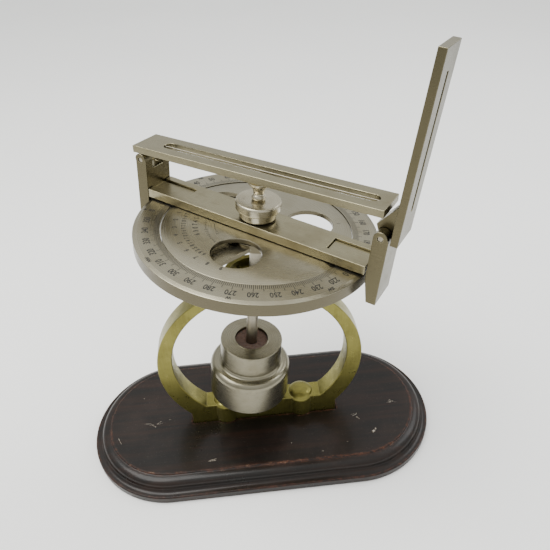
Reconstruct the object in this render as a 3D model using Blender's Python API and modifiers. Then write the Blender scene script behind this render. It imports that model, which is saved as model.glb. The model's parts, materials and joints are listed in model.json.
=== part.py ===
"""Pelorus (bearing sight) hung in a gimbal on a ring-shaped brass stand with a wooden plinth.

Metres, +Z up.  The origin is the centre of the plinth's underside; +X runs along the plinth.
Run with: blender --background --python part.py
"""
import math

import bmesh
import bpy
from mathutils import Matrix, Vector

MM = 0.001

# ---- driving dimensions -------------------------------------------------------------------
# Plinth: a stadium, two half circles joined by straight sides.
PLINTH_END_R = 65.5 * MM
PLINTH_HALF_STRAIGHT = 70.8 * MM
PLINTH_H = 16.4 * MM
PLINTH_TOP_INSET = 13.9 * MM
RECESS_DEPTH = 2.0 * MM
RECESS_HALF_LENGTH = 58.4 * MM
RECESS_HALF_WIDTH = 8.3 * MM

# Ring yoke: a flat brass ring standing in the recess on its own foot bar.  Its inner circle sits
# higher than its outer one, so the ring is thickest at the foot.
YOKE_X = 1.6 * MM
RING_R = 75.8 * MM
RING_Z = 76.3 * MM
RING_INNER_R = 64.5 * MM
RING_INNER_Z = 80.8 * MM
RING_HALF_WIDTH = 7.2 * MM
FOOT_HALF_LENGTH = 57.5 * MM
FOOT_TOP_Z = 34.5 * MM
BOSS_X = 30.0 * MM
BOSS_R = 10.4 * MM
BOSS_TOP_Z = 37.0 * MM
HOLD_DOWN_R = 2.5 * MM

# Gimbal in the head of the ring.
PIVOT_Z = 150.0 * MM
HEAD_R = 21.5 * MM
HEAD_BORE_R = 17.3 * MM
HEAD_LOW = 7.0 * MM
HEAD_HIGH = 8.0 * MM
GIMBAL_R = 14.3 * MM
GIMBAL_INNER_R = 10.6 * MM
GIMBAL_HALF_H = 3.2 * MM
HUB_R = 8.0 * MM
HUB_HALF_H = 4.5 * MM
PIVOT_TIP_R = 1.5 * MM
PIVOT_SCREW_R = 2.0 * MM

# How the instrument leans at rest, first about the outer pivots (Y), then the inner ones (X).
REST_LEAN_Y = math.radians(5.8)
REST_LEAN_X = math.radians(-1.2)
BAR_AZIMUTH = math.radians(-35.3)

# Dial.  Heights below are measured along the dial's axis from the top face of its rim.
DIAL_HEIGHT = 43.8 * MM
DIAL_R = 76.0 * MM
DIAL_THICK = 8.4 * MM
DIAL_INNER_R = 59.5 * MM
SPOKE_WIDTH = 20.0 * MM
SPOKE_TOP = -5.0 * MM
SPOKE_BOTTOM = -8.1 * MM
SPOKE_ANGLES = (-105.0, 15.0, 135.0)
DIAL_HUB_R = 18.0 * MM
DISC_R = 59.1 * MM
DISC_FLAT_R = 53.3 * MM
DISC_TOP = 0.7 * MM
DISC_EDGE_TOP = -0.5 * MM
DISC_BOTTOM = -2.0 * MM
DISC_HOLE_R = 15.0 * MM
DISC_HOLE_PITCH_R = 33.4 * MM
DISC_HOLE_ANGLES = (-80.0, 40.0, 160.0)
JOURNAL_R = 7.0 * MM
SHAFT_R = 4.0 * MM
BORE_GAP = 0.15 * MM

# Counterweight, on the lower end of the shaft.
WEIGHT_TOP = -94.8 * MM
WEIGHT_SHOULDER = WEIGHT_TOP - 25.6 * MM
WEIGHT_BOTTOM = WEIGHT_TOP - 49.2 * MM
WEIGHT_UPPER_R = 22.3 * MM
WEIGHT_R = 29.5 * MM
WEIGHT_BORE_R = 11.8 * MM
WEIGHT_BORE_FLOOR = WEIGHT_TOP - 24.4 * MM
NUT_RECESS_R = 10.0 * MM
NUT_RECESS_TOP = WEIGHT_BOTTOM + 6.0 * MM
SHAFT_END = WEIGHT_BOTTOM + 1.0 * MM

# Sight bar and its two brackets.
BAR_HALF_WIDTH = 11.5 * MM
BAR_HALF_LENGTH = 76.1 * MM
BAR_BOTTOM = 1.2 * MM
BAR_TOP = 6.8 * MM
POCKET_START = 50.0 * MM
POCKET_HALF_WIDTH = 6.3 * MM
POCKET_FLOOR = 3.6 * MM
BRACKET_FOOT_TOP = 5.4 * MM
LEFT_BRACKET_XS = (76.5 * MM, 84.6 * MM)
RIGHT_BRACKET_XS = (77.0 * MM, 85.8 * MM)
BRACKET_TIP_THICK = 5.8 * MM
HINGE_X = 81.0 * MM
HINGE_EAR_R = 4.1 * MM
HINGE_SLOT_HALF = 5.0 * MM
HINGE_SLOT_DEPTH = 6.4 * MM
HINGE_PIN_R = 1.6 * MM
LEFT_HINGE_Z = 25.6 * MM
RIGHT_HINGE_Z = 26.6 * MM
LEFT_SKIRT = 12.6 * MM
RIGHT_SKIRT = 16.4 * MM
BRACKET_SCREW_XS = (56.0 * MM, 68.0 * MM)

# Vanes.  Both are measured from their hinge axes.
VANE_CLEARANCE = 0.35 * MM
OBJECT_VANE_LENGTH = 162.0 * MM
OBJECT_VANE_HEEL = 5.0 * MM
OBJECT_VANE_THICK = 4.5 * MM
OBJECT_VANE_SLOT = (12.0 * MM, 155.5 * MM)
OBJECT_VANE_SLOT_HALF = 4.0 * MM
OBJECT_VANE_REST = math.radians(3.2)
EYE_VANE_LENGTH = 98.5 * MM
EYE_VANE_HEEL = 1.8 * MM
EYE_VANE_THICK = 4.3 * MM
EYE_VANE_FACE = 5.6 * MM
EYE_VANE_SLOT = (15.5 * MM, 86.5 * MM)
EYE_VANE_REST = math.radians(0.9)
EYE_VANE_SLOT_HALF = 1.4 * MM
WIRE_R = 0.35 * MM

# Clamp nut and lock screw on top of the shaft.
NUT_BOTTOM = 8.2 * MM
NUT_TOP = 19.1 * MM
NUT_FLANGE_R = 14.0 * MM
NUT_BODY_R = 11.5 * MM
NUT_FLANGE_BOTTOM = 13.2 * MM
LOCK_SCREW_TOP = 32.0 * MM

DIAL_STEPS = 72
FINE = 48
MEDIUM = 32
COARSE = 16
OVERSIZE = 4.0 * MM

# colour, metallic, roughness
FINISHES = {
    "plinth_wood": ((0.030, 0.016, 0.013), 0.0, 0.38),
    "yellow_brass": ((0.36, 0.29, 0.10), 1.0, 0.36),
    "nickel": ((0.60, 0.56, 0.46), 1.0, 0.24),
    "satin_silver": ((0.44, 0.42, 0.33), 1.0, 0.36),
    "steel": ((0.34, 0.32, 0.28), 1.0, 0.34),
    "brown_felt": ((0.12, 0.055, 0.035), 0.0, 0.85),
    "wire": ((0.55, 0.50, 0.40), 1.0, 0.25),
}


# ---- helpers ------------------------------------------------------------------------------
def clear_scene():
    """Remove every object that is already in the file."""
    for old in list(bpy.data.objects):
        bpy.data.objects.remove(old, do_unlink=True)


def make_material(name):
    """A plain metal, wood or felt finish."""
    colour, metallic, roughness = FINISHES[name]
    material = bpy.data.materials.new(name)
    material.use_nodes = True
    shader = material.node_tree.nodes["Principled BSDF"]
    shader.inputs["Base Color"].default_value = (*colour, 1.0)
    shader.inputs["Metallic"].default_value = metallic
    shader.inputs["Roughness"].default_value = roughness
    return material


def new_object(name, mesh, parent, finish=None):
    """Put a mesh in the parts collection, or among the cutters when it has no finish."""
    obj = bpy.data.objects.new(name, mesh)
    obj.parent = parent
    if finish is None:
        CUTTERS.objects.link(obj)
        obj.hide_render = True
        obj.display_type = "WIRE"
    else:
        PARTS.objects.link(obj)
        obj.data.materials.append(MATERIALS[finish])
    return obj


def frame(name, parent=None, location=(0, 0, 0), rotation=None):
    """An empty that carries a local coordinate frame."""
    empty = bpy.data.objects.new(name, None)
    PARTS.objects.link(empty)
    empty.parent = parent
    empty.empty_display_size = 0.01
    empty.matrix_basis = Matrix.Translation(location) @ (rotation or Matrix.Identity(4))
    return empty


def shade(obj, angle=40.0):
    """Smooth shading with sharp edges kept."""
    obj.data.shade_smooth()
    obj.data.set_sharp_from_angle(angle=math.radians(angle))
    return obj


def turned(name, profile, parent, finish=None, steps=MEDIUM, axis="Z", centre=(0, 0, 0)):
    """Turn a profile of (radius, height) points, listed down its outer side, about an axis.

    A profile that doesn't start and end on the axis is closed into a ring.
    """
    mesh = bpy.data.meshes.new(name)
    points = [(radius, 0.0, height) for radius, height in profile]
    edges = [(i, i + 1) for i in range(len(points) - 1)]
    if profile[0][0] > 0.0:
        edges.append((len(points) - 1, 0))
    mesh.from_pydata(points, edges, [])
    obj = new_object(name, mesh, parent, finish)
    screw = obj.modifiers.new("turn", "SCREW")
    screw.axis = "Z"
    screw.steps = steps
    screw.render_steps = steps
    screw.use_merge_vertices = True
    screw.merge_threshold = 0.00001
    screw.use_smooth_shade = False
    turn = {"X": Matrix.Rotation(math.pi / 2, 4, "Y"), "Y": Matrix.Rotation(-math.pi / 2, 4, "X"),
            "Z": Matrix.Identity(4)}[axis]
    obj.matrix_basis = Matrix.Translation(centre) @ turn
    return obj


def cylinder(name, radius, low, high, parent, finish=None, steps=COARSE, axis="Z", centre=(0, 0, 0)):
    """A plain closed cylinder from low to high along an axis."""
    profile = [(0.0, high), (radius, high), (radius, low), (0.0, low)]
    return turned(name, profile, parent, finish, steps, axis, centre)


def block(name, low, high, parent, finish=None):
    """A rectangular block between two corners."""
    low = Vector(low)
    high = Vector(high)
    mesh = bpy.data.meshes.new(name)
    shape = bmesh.new()
    bmesh.ops.create_cube(shape, size=1.0)
    size = high - low
    bmesh.ops.scale(shape, vec=size, verts=shape.verts)
    bmesh.ops.translate(shape, vec=(low + high) / 2, verts=shape.verts)
    shape.to_mesh(mesh)
    shape.free()
    return new_object(name, mesh, parent, finish)


def plate(name, outlines, low_y, high_y, parent, finish=None):
    """A flat plate: outlines of (x, z) points, holes included, extruded from low_y to high_y."""
    curve = bpy.data.curves.new(name, "CURVE")
    curve.dimensions = "2D"
    curve.fill_mode = "BOTH"
    curve.extrude = (high_y - low_y) / 2
    for outline in outlines:
        spline = curve.splines.new("POLY")
        spline.points.add(len(outline) - 1)
        for point, (x, z) in zip(spline.points, outline):
            point.co = (x, z, 0.0, 1.0)
        spline.use_cyclic_u = True
    flat = bpy.data.objects.new(name + "_outline", curve)
    PARTS.objects.link(flat)
    bpy.context.view_layer.update()
    mesh = bpy.data.meshes.new_from_object(flat.evaluated_get(bpy.context.evaluated_depsgraph_get()))
    bpy.data.objects.remove(flat, do_unlink=True)
    shape = bmesh.new()
    shape.from_mesh(mesh)
    bmesh.ops.remove_doubles(shape, verts=shape.verts, dist=0.000001)
    shape.to_mesh(mesh)
    shape.free()
    upright = Matrix.Translation((0, (low_y + high_y) / 2, 0)) @ Matrix.Rotation(math.pi / 2, 4, "X")
    mesh.transform(upright)
    mesh.name = name
    return new_object(name, mesh, parent, finish)


def arc(centre, radius, start, end, count):
    """Points along an arc, angles in degrees."""
    angles = [math.radians(start + (end - start) * i / (count - 1)) for i in range(count)]
    return [(centre[0] + radius * math.cos(a), centre[1] + radius * math.sin(a)) for a in angles]


def combine(obj, other, operation):
    """Join or cut with another object, which becomes a hidden helper."""
    modifier = obj.modifiers.new(operation.lower() + "_" + other.name, "BOOLEAN")
    modifier.operation = operation
    modifier.solver = "EXACT"
    modifier.object = other
    return obj


def cut(obj, *cutters):
    """Cut each of the cutters out of an object."""
    for cutter in cutters:
        combine(obj, cutter, "DIFFERENCE")


def join(obj, *additions):
    """Join each of the additions to an object."""
    for addition in additions:
        combine(obj, addition, "UNION")


def soften(obj, width, segments=2, angle=35.0):
    """Round the edges of an object whose scale is 1."""
    bevel = obj.modifiers.new("soften", "BEVEL")
    bevel.width = width
    bevel.segments = segments
    bevel.limit_method = "ANGLE"
    bevel.angle_limit = math.radians(angle)
    bevel.harden_normals = False


# ---- stand --------------------------------------------------------------------------------
def plinth_profile():
    """The moulded edge, from the middle of the top down to the middle of the underside."""
    top = PLINTH_H
    top_r = PLINTH_END_R - PLINTH_TOP_INSET
    profile = [(0.0, top), (top_r, top), (top_r + 0.4 * MM, top - 1.0 * MM)]
    for i in range(5):
        a = math.radians(90 - 90 * i / 4)
        profile.append((top_r + 1.0 * MM + 6.6 * MM * math.cos(a), top - 5.6 * MM + 4.4 * MM * math.sin(a)))
    for i in range(1, 4):
        a = math.radians(180 + 90 * i / 3)
        profile.append((top_r + 11.4 * MM + 3.6 * MM * math.cos(a), top - 6.2 * MM + 3.4 * MM * math.sin(a)))
    profile += [(PLINTH_END_R - 0.6 * MM, top - 9.6 * MM), (PLINTH_END_R, top - 10.4 * MM),
                (PLINTH_END_R, 0.8 * MM), (PLINTH_END_R - 0.8 * MM, 0.0), (0.0, 0.0)]
    return profile


def build_plinth(parent):
    """A turned disc split along its middle and drawn apart into a stadium."""
    round_disc = turned("round_disc", plinth_profile(), parent, None, FINE)
    bpy.context.view_layer.update()
    graph = bpy.context.evaluated_depsgraph_get()
    mesh = bpy.data.meshes.new_from_object(round_disc.evaluated_get(graph))
    bpy.data.objects.remove(round_disc, do_unlink=True)
    mesh.transform(Matrix.Rotation(math.pi / FINE, 4, "Z"))
    for vertex in mesh.vertices:
        if abs(vertex.co.x) > 0.00001:
            vertex.co.x += math.copysign(PLINTH_HALF_STRAIGHT, vertex.co.x)
    plinth = new_object("plinth", mesh, parent, "plinth_wood")
    top = PLINTH_H + OVERSIZE
    recess_floor = PLINTH_H - RECESS_DEPTH
    cut(plinth, block("recess_cutter", (YOKE_X - RECESS_HALF_LENGTH, -RECESS_HALF_WIDTH, recess_floor),
                      (YOKE_X + RECESS_HALF_LENGTH, RECESS_HALF_WIDTH, top), parent))
    boss_floor = PLINTH_H - RECESS_DEPTH - 0.2 * MM
    hole = [(0.0, top), (BOSS_R + 0.4 * MM, top), (BOSS_R + 0.4 * MM, boss_floor),
            (HOLD_DOWN_R + 0.2 * MM, boss_floor), (HOLD_DOWN_R + 0.2 * MM, 4.2 * MM), (5.6 * MM, 4.2 * MM),
            (5.6 * MM, -OVERSIZE), (0.0, -OVERSIZE)]
    for side in (-1, 1):
        place = (YOKE_X + side * BOSS_X, 0, 0)
        cut(plinth, turned("hold_down_cutter", hole, parent, None, COARSE, "Z", place))
    return shade(plinth, 30)


def build_ring_yoke(parent):
    """Flat ring, foot bar and head boss in one casting."""
    foot_bottom = PLINTH_H - RECESS_DEPTH + 0.3 * MM
    outer_drop = math.sqrt(RING_R ** 2 - FOOT_HALF_LENGTH ** 2)
    start = math.degrees(math.atan2(-outer_drop, FOOT_HALF_LENGTH))
    outer = [(FOOT_HALF_LENGTH, foot_bottom)] + arc((0, RING_Z), RING_R, start, 180 - start, 49)
    outer.append((-FOOT_HALF_LENGTH, foot_bottom))
    inner_start = math.degrees(math.asin((FOOT_TOP_Z - RING_INNER_Z) / RING_INNER_R))
    inner = arc((0, RING_INNER_Z), RING_INNER_R, inner_start, 180 - inner_start, 41)
    yoke = plate("ring_yoke", [outer, inner], -RING_HALF_WIDTH, RING_HALF_WIDTH, parent, "yellow_brass")
    boss = [(0.0, BOSS_TOP_Z), (BOSS_R * 0.55, BOSS_TOP_Z - 0.5 * MM), (BOSS_R * 0.88, BOSS_TOP_Z - 1.9 * MM),
            (BOSS_R, BOSS_TOP_Z - 4.0 * MM), (BOSS_R, foot_bottom + 0.2 * MM), (0.0, foot_bottom + 0.2 * MM)]
    for side in (-1, 1):
        join(yoke, turned("boss", boss, parent, None, COARSE, "Z", (side * BOSS_X, 0, 0)))
    head = [(0.0, HEAD_HIGH), (HEAD_R - 1.0 * MM, HEAD_HIGH), (HEAD_R, HEAD_HIGH - 1.0 * MM),
            (HEAD_R, 1.0 * MM - HEAD_LOW), (HEAD_R - 1.0 * MM, -HEAD_LOW), (0.0, -HEAD_LOW)]
    pivot = (0, 0, PIVOT_Z)
    join(yoke, turned("head", head, parent, None, MEDIUM, "Z", pivot))
    cut(yoke, cylinder("head_bore_cutter", HEAD_BORE_R, -20 * MM, 20 * MM, parent, None, MEDIUM, "Z", pivot))
    cut(yoke, cylinder("pivot_screw_cutter", PIVOT_SCREW_R + 0.1 * MM, -40 * MM, 40 * MM, parent, None,
                       COARSE, "Y", pivot))
    for side in (-1, 1):
        cut(yoke, cylinder("tapped_hole_cutter", HOLD_DOWN_R + 0.1 * MM, 0.0, 30 * MM, parent, None,
                           COARSE, "Z", (side * BOSS_X, 0, 0)))
    return shade(yoke, 30)


def build_hold_down_screw(name, x, parent):
    """Cheese-head screw that comes up through the plinth into a boss of the yoke."""
    head_r = 4.8 * MM
    head_top = 3.9 * MM
    profile = [(0.0, 29.0 * MM), (HOLD_DOWN_R - 0.6 * MM, 29.0 * MM), (HOLD_DOWN_R, 28.2 * MM),
               (HOLD_DOWN_R, head_top), (head_r, head_top), (head_r, 0.9 * MM), (head_r - 0.4 * MM, 0.5 * MM),
               (0.0, 0.5 * MM)]
    screw = turned(name, profile, parent, "steel", COARSE, "Z", (x, 0, 0))
    cut(screw, block(name + "_slot", (x - 6 * MM, -0.6 * MM, -1 * MM),
                     (x + 6 * MM, 0.6 * MM, 1.7 * MM), parent))
    return shade(screw)


def build_pivot_screw(name, side, parent):
    """Pointed pivot screw through the head, and the lock nut on it."""
    tip = 11.4 * MM
    reach = 26.0 * MM
    neck = 15.2 * MM
    profile = [(0.0, reach), (PIVOT_SCREW_R, reach), (PIVOT_SCREW_R, neck), (PIVOT_TIP_R, neck - 0.5 * MM),
               (PIVOT_TIP_R, tip), (0.0, tip)]
    holder = frame(name + "_axis", parent, (0, 0, PIVOT_Z),
                   Matrix.Rotation(-math.pi / 2 * side, 4, "X"))
    screw = turned(name, profile, holder, "steel", COARSE)
    cut(screw, block(name + "_slot", (-4 * MM, -0.4 * MM, reach - 1.2 * MM),
                     (4 * MM, 0.4 * MM, 30 * MM), holder))
    nut_name = name.replace("screw", "lock_nut")
    nut_low = HEAD_R + 0.3 * MM
    nut = cylinder(nut_name, 4.2 * MM, nut_low, nut_low + 2.4 * MM, holder, "steel", 6)
    cut(nut, cylinder(nut_name + "_bore", PIVOT_SCREW_R + 0.1 * MM, 0.0, 40 * MM, holder))
    return shade(screw), shade(nut, 20)


# ---- gimbal -------------------------------------------------------------------------------
def build_gimbal(parent):
    """The ring between the stand's pivots and the instrument's pivots, with two cross pins."""
    profile = [(GIMBAL_R - 0.4 * MM, GIMBAL_HALF_H), (GIMBAL_R, GIMBAL_HALF_H - 0.4 * MM),
               (GIMBAL_R, 0.4 * MM - GIMBAL_HALF_H), (GIMBAL_R - 0.4 * MM, -GIMBAL_HALF_H),
               (GIMBAL_INNER_R, -GIMBAL_HALF_H), (GIMBAL_INNER_R, GIMBAL_HALF_H)]
    ring = turned("gimbal_ring", profile, parent, "yellow_brass", MEDIUM)
    cut(ring, cylinder("outer_pivot_cutter", PIVOT_TIP_R + 0.15 * MM, -20 * MM, 20 * MM, parent, None,
                       COARSE, "Y"))
    cut(ring, cylinder("inner_pivot_cutter", PIVOT_TIP_R + 0.1 * MM, -20 * MM, 20 * MM, parent, None,
                       COARSE, "X"))
    for name, side in (("gimbal_pin_left", -1), ("gimbal_pin_right", 1)):
        ends = sorted((side * 5.4 * MM, side * (GIMBAL_R - 0.2 * MM)))
        shade(cylinder(name, PIVOT_TIP_R, ends[0], ends[1], parent, "steel", COARSE, "X"))
    return shade(ring)


# ---- the swinging instrument --------------------------------------------------------------
def build_shaft(dial, pivot):
    """The spindle that carries everything, and the gimbal block fixed on it."""
    well_r = 2.65 * MM
    profile = [(0.0, 9.4 * MM), (well_r, 9.4 * MM), (well_r, 15.5 * MM), (SHAFT_R - 0.4 * MM, 15.5 * MM),
               (SHAFT_R, 15.1 * MM), (SHAFT_R, DISC_BOTTOM - 0.25 * MM), (JOURNAL_R, DISC_BOTTOM - 0.25 * MM),
               (JOURNAL_R, -9.0 * MM), (12.0 * MM, -9.0 * MM), (12.0 * MM, -11.5 * MM),
               (SHAFT_R, -15.0 * MM), (SHAFT_R, SHAFT_END + 0.5 * MM), (SHAFT_R - 0.5 * MM, SHAFT_END),
               (0.0, SHAFT_END)]
    shade(turned("pendulum_shaft", profile, dial, "satin_silver", MEDIUM))
    bore = SHAFT_R + BORE_GAP
    profile = [(HUB_R - 0.5 * MM, HUB_HALF_H), (HUB_R, HUB_HALF_H - 0.5 * MM), (HUB_R, 0.5 * MM - HUB_HALF_H),
               (HUB_R - 0.5 * MM, -HUB_HALF_H), (bore, -HUB_HALF_H), (bore, HUB_HALF_H)]
    hub = turned("gimbal_hub", profile, pivot, "satin_silver", MEDIUM)
    cut(hub, cylinder("hub_pin_cutter", PIVOT_TIP_R + 0.15 * MM, -20 * MM, 20 * MM, pivot, None, COARSE, "X"))
    shade(hub)


def build_counterweight(dial):
    """Stepped weight with a curved shoulder, the felt in its mouth and the nut beneath it."""
    bore = SHAFT_R + BORE_GAP
    lip = WEIGHT_BORE_R + 0.8 * MM
    profile = [(WEIGHT_BORE_R, WEIGHT_TOP + 0.3 * MM), (lip, WEIGHT_TOP + 0.3 * MM),
               (lip + 0.3 * MM, WEIGHT_TOP), (WEIGHT_UPPER_R - 0.8 * MM, WEIGHT_TOP),
               (WEIGHT_UPPER_R, WEIGHT_TOP - 0.8 * MM), (WEIGHT_UPPER_R, WEIGHT_SHOULDER + 8.6 * MM),
               (WEIGHT_UPPER_R + 0.4 * MM, WEIGHT_SHOULDER + 6.9 * MM),
               (WEIGHT_UPPER_R + 1.3 * MM, WEIGHT_SHOULDER + 5.7 * MM)]
    for i in range(6):
        a = math.radians(90 - 90 * i / 5)
        profile.append((WEIGHT_R - 4.8 * MM + 4.8 * MM * math.cos(a),
                        WEIGHT_SHOULDER + 5.2 * MM * math.sin(a)))
    profile += [(WEIGHT_R, WEIGHT_BOTTOM + 0.8 * MM), (WEIGHT_R - 0.8 * MM, WEIGHT_BOTTOM),
                (NUT_RECESS_R, WEIGHT_BOTTOM), (NUT_RECESS_R, NUT_RECESS_TOP), (bore, NUT_RECESS_TOP),
                (bore, WEIGHT_BORE_FLOOR), (WEIGHT_BORE_R, WEIGHT_BORE_FLOOR)]
    shade(turned("counterweight", profile, dial, "nickel", FINE), 28)
    felt_r = WEIGHT_BORE_R - 0.3 * MM
    felt_top = WEIGHT_TOP - 1.6 * MM
    felt = [(bore, felt_top - 1.2 * MM), (bore + 2.0 * MM, felt_top - 0.9 * MM), (felt_r, felt_top),
            (felt_r, WEIGHT_BORE_FLOOR + 0.3 * MM), (bore, WEIGHT_BORE_FLOOR + 0.3 * MM)]
    shade(turned("weight_felt", felt, dial, "brown_felt", MEDIUM))
    nut_top = NUT_RECESS_TOP - 0.3 * MM
    nut = cylinder("weight_nut", 8.0 * MM, nut_top - 4.0 * MM, nut_top, dial, "steel", 6)
    cut(nut, cylinder("weight_nut_bore", bore, -160 * MM, -120 * MM, dial, None, MEDIUM))
    shade(nut, 20)


def build_dial(dial, bar):
    """The graduated wheel that turns on the shaft's journal."""
    edge = 0.7 * MM
    profile = [(DIAL_R - edge, 0.0), (DIAL_R, -edge), (DIAL_R, edge - DIAL_THICK),
               (DIAL_R - edge, -DIAL_THICK), (DIAL_INNER_R, -DIAL_THICK), (DIAL_INNER_R, 0.0)]
    wheel = turned("graduated_dial", profile, dial, "satin_silver", DIAL_STEPS)
    reach = DIAL_INNER_R + 2.0 * MM
    for number, angle in enumerate(SPOKE_ANGLES):
        turn = Matrix.Rotation(math.radians(angle), 4, "Z")
        arm = frame("spoke_direction_%d" % number, bar, (0, 0, 0), turn)
        join(wheel, block("spoke_%d" % number, (2.0 * MM, -SPOKE_WIDTH / 2, SPOKE_BOTTOM),
                          (reach, SPOKE_WIDTH / 2, SPOKE_TOP), arm))
    join(wheel, cylinder("dial_hub", DIAL_HUB_R, -8.7 * MM, -3.4 * MM, dial, None, MEDIUM))
    cut(wheel, cylinder("dial_bore", JOURNAL_R + BORE_GAP, -20 * MM, 20 * MM, dial, None, MEDIUM))
    shade(wheel, 30)


def build_inner_disc(dial, bar):
    """The fixed centre plate with a bevelled edge and three round windows."""
    bore = SHAFT_R + BORE_GAP
    profile = [(bore, DISC_TOP), (DISC_FLAT_R, DISC_TOP), (DISC_R, DISC_EDGE_TOP), (DISC_R, DISC_BOTTOM),
               (bore, DISC_BOTTOM)]
    disc = turned("inner_disc", profile, dial, "satin_silver", FINE)
    for angle in DISC_HOLE_ANGLES:
        a = math.radians(angle)
        place = (DISC_HOLE_PITCH_R * math.cos(a), DISC_HOLE_PITCH_R * math.sin(a), 0)
        cut(disc, cylinder("window_cutter", DISC_HOLE_R, -20 * MM, 20 * MM, bar, None, MEDIUM, "Z", place))
    shade(disc, 30)
    low = DISC_TOP + 0.3 * MM
    high = BAR_TOP + 0.4 * MM
    bush = [(JOURNAL_R - 0.3 * MM, high), (JOURNAL_R, high - 0.3 * MM), (JOURNAL_R, low), (bore, low),
            (bore, high)]
    shade(turned("centre_bush", bush, dial, "steel", MEDIUM))


# ---- sight bar ----------------------------------------------------------------------------
def build_sight_bar(bar):
    """The straight bar across the dial, pocketed at both ends for the brackets' feet."""
    half = BAR_HALF_WIDTH
    body = block("sight_bar", (-BAR_HALF_LENGTH, -half, BAR_BOTTOM), (BAR_HALF_LENGTH, half, BAR_TOP), bar,
                 "satin_silver")
    soften(body, 0.25 * MM, 1)
    cut(body, cylinder("bar_bore", JOURNAL_R + BORE_GAP, -20 * MM, 20 * MM, bar, None, MEDIUM))
    for side in (-1, 1):
        xs = sorted((side * POCKET_START, side * (BAR_HALF_LENGTH + OVERSIZE)))
        cut(body, block("pocket_cutter", (xs[0], -POCKET_HALF_WIDTH, POCKET_FLOOR),
                        (xs[1], POCKET_HALF_WIDTH, 20 * MM), bar))
        for x in BRACKET_SCREW_XS:
            place = (side * x, 0, BAR_BOTTOM)
            sink = [(0.0, 6.0 * MM), (1.7 * MM, 6.0 * MM), (1.7 * MM, 1.5 * MM), (3.2 * MM, 0.0),
                    (3.2 * MM, -3.0 * MM), (0.0, -3.0 * MM)]
            cut(body, turned("countersink_cutter", sink, bar, None, COARSE, "Z", place))
    shade(body, 30)


def build_bracket(name, side, hinge_z, skirt, bar):
    """End bracket: an upright with a forked top, and a foot screwed into the bar's pocket."""
    inner_x, outer_x = LEFT_BRACKET_XS if side < 0 else RIGHT_BRACKET_XS
    outline = [(side * outer_x, -skirt), (side * outer_x, hinge_z - 1.0 * MM)]
    ear = arc((HINGE_X, hinge_z), HINGE_EAR_R, 15, 165, 9)
    outline += [(side * x, z) for x, z in ear]
    outline += [(side * inner_x, hinge_z - 1.0 * MM), (side * inner_x, -1.0 * MM),
                (side * (outer_x - BRACKET_TIP_THICK), -skirt)]
    half = BAR_HALF_WIDTH
    post = plate(name, [outline], -half, half, bar, "satin_silver")
    foot_half = POCKET_HALF_WIDTH - 0.3 * MM
    foot_xs = sorted((side * (POCKET_START + 0.4 * MM), side * (inner_x + 1.5 * MM)))
    join(post, block(name + "_foot", (foot_xs[0], -foot_half, POCKET_FLOOR + 0.3 * MM),
                     (foot_xs[1], foot_half, BRACKET_FOOT_TOP), bar))
    slot_low = hinge_z - HINGE_SLOT_DEPTH
    xs = sorted((side * (inner_x - OVERSIZE), side * (outer_x + OVERSIZE)))
    cut(post, block(name + "_fork", (xs[0], -HINGE_SLOT_HALF, slot_low),
                    (xs[1], HINGE_SLOT_HALF, hinge_z + 10 * MM), bar))
    centre = (side * HINGE_X, 0, hinge_z)
    cut(post, cylinder(name + "_pin_hole", HINGE_PIN_R + 0.1 * MM, -20 * MM, 20 * MM, bar, None, COARSE, "Y",
                       centre))
    for x in BRACKET_SCREW_XS:
        cut(post, cylinder(name + "_screw_hole", 1.6 * MM, 0.0, 5.2 * MM, bar, None, COARSE, "Z",
                           (side * x, 0, 0)))
    shade(post, 30)
    pin_half = half - 0.4 * MM
    shade(cylinder(name.replace("bracket", "hinge_pin"), HINGE_PIN_R, -pin_half, pin_half, bar, "steel",
                   COARSE, "Y", centre))
    for number, x in enumerate(BRACKET_SCREW_XS, 1):
        build_bracket_screw("%s_screw_%d" % (name, number), side * x, bar)


def build_bracket_screw(name, x, bar):
    """Countersunk screw from under the bar into a bracket's foot."""
    low = BAR_BOTTOM + 0.1 * MM
    profile = [(0.0, 4.9 * MM), (1.5 * MM, 4.9 * MM), (1.5 * MM, low + 1.4 * MM), (2.8 * MM, low),
               (0.0, low)]
    screw = turned(name, profile, bar, "steel", COARSE, "Z", (x, 0, 0))
    cut(screw, block(name + "_slot", (x - 4 * MM, -0.35 * MM, 0.0),
                     (x + 4 * MM, 0.35 * MM, low + 0.7 * MM), bar))
    shade(screw)


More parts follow.
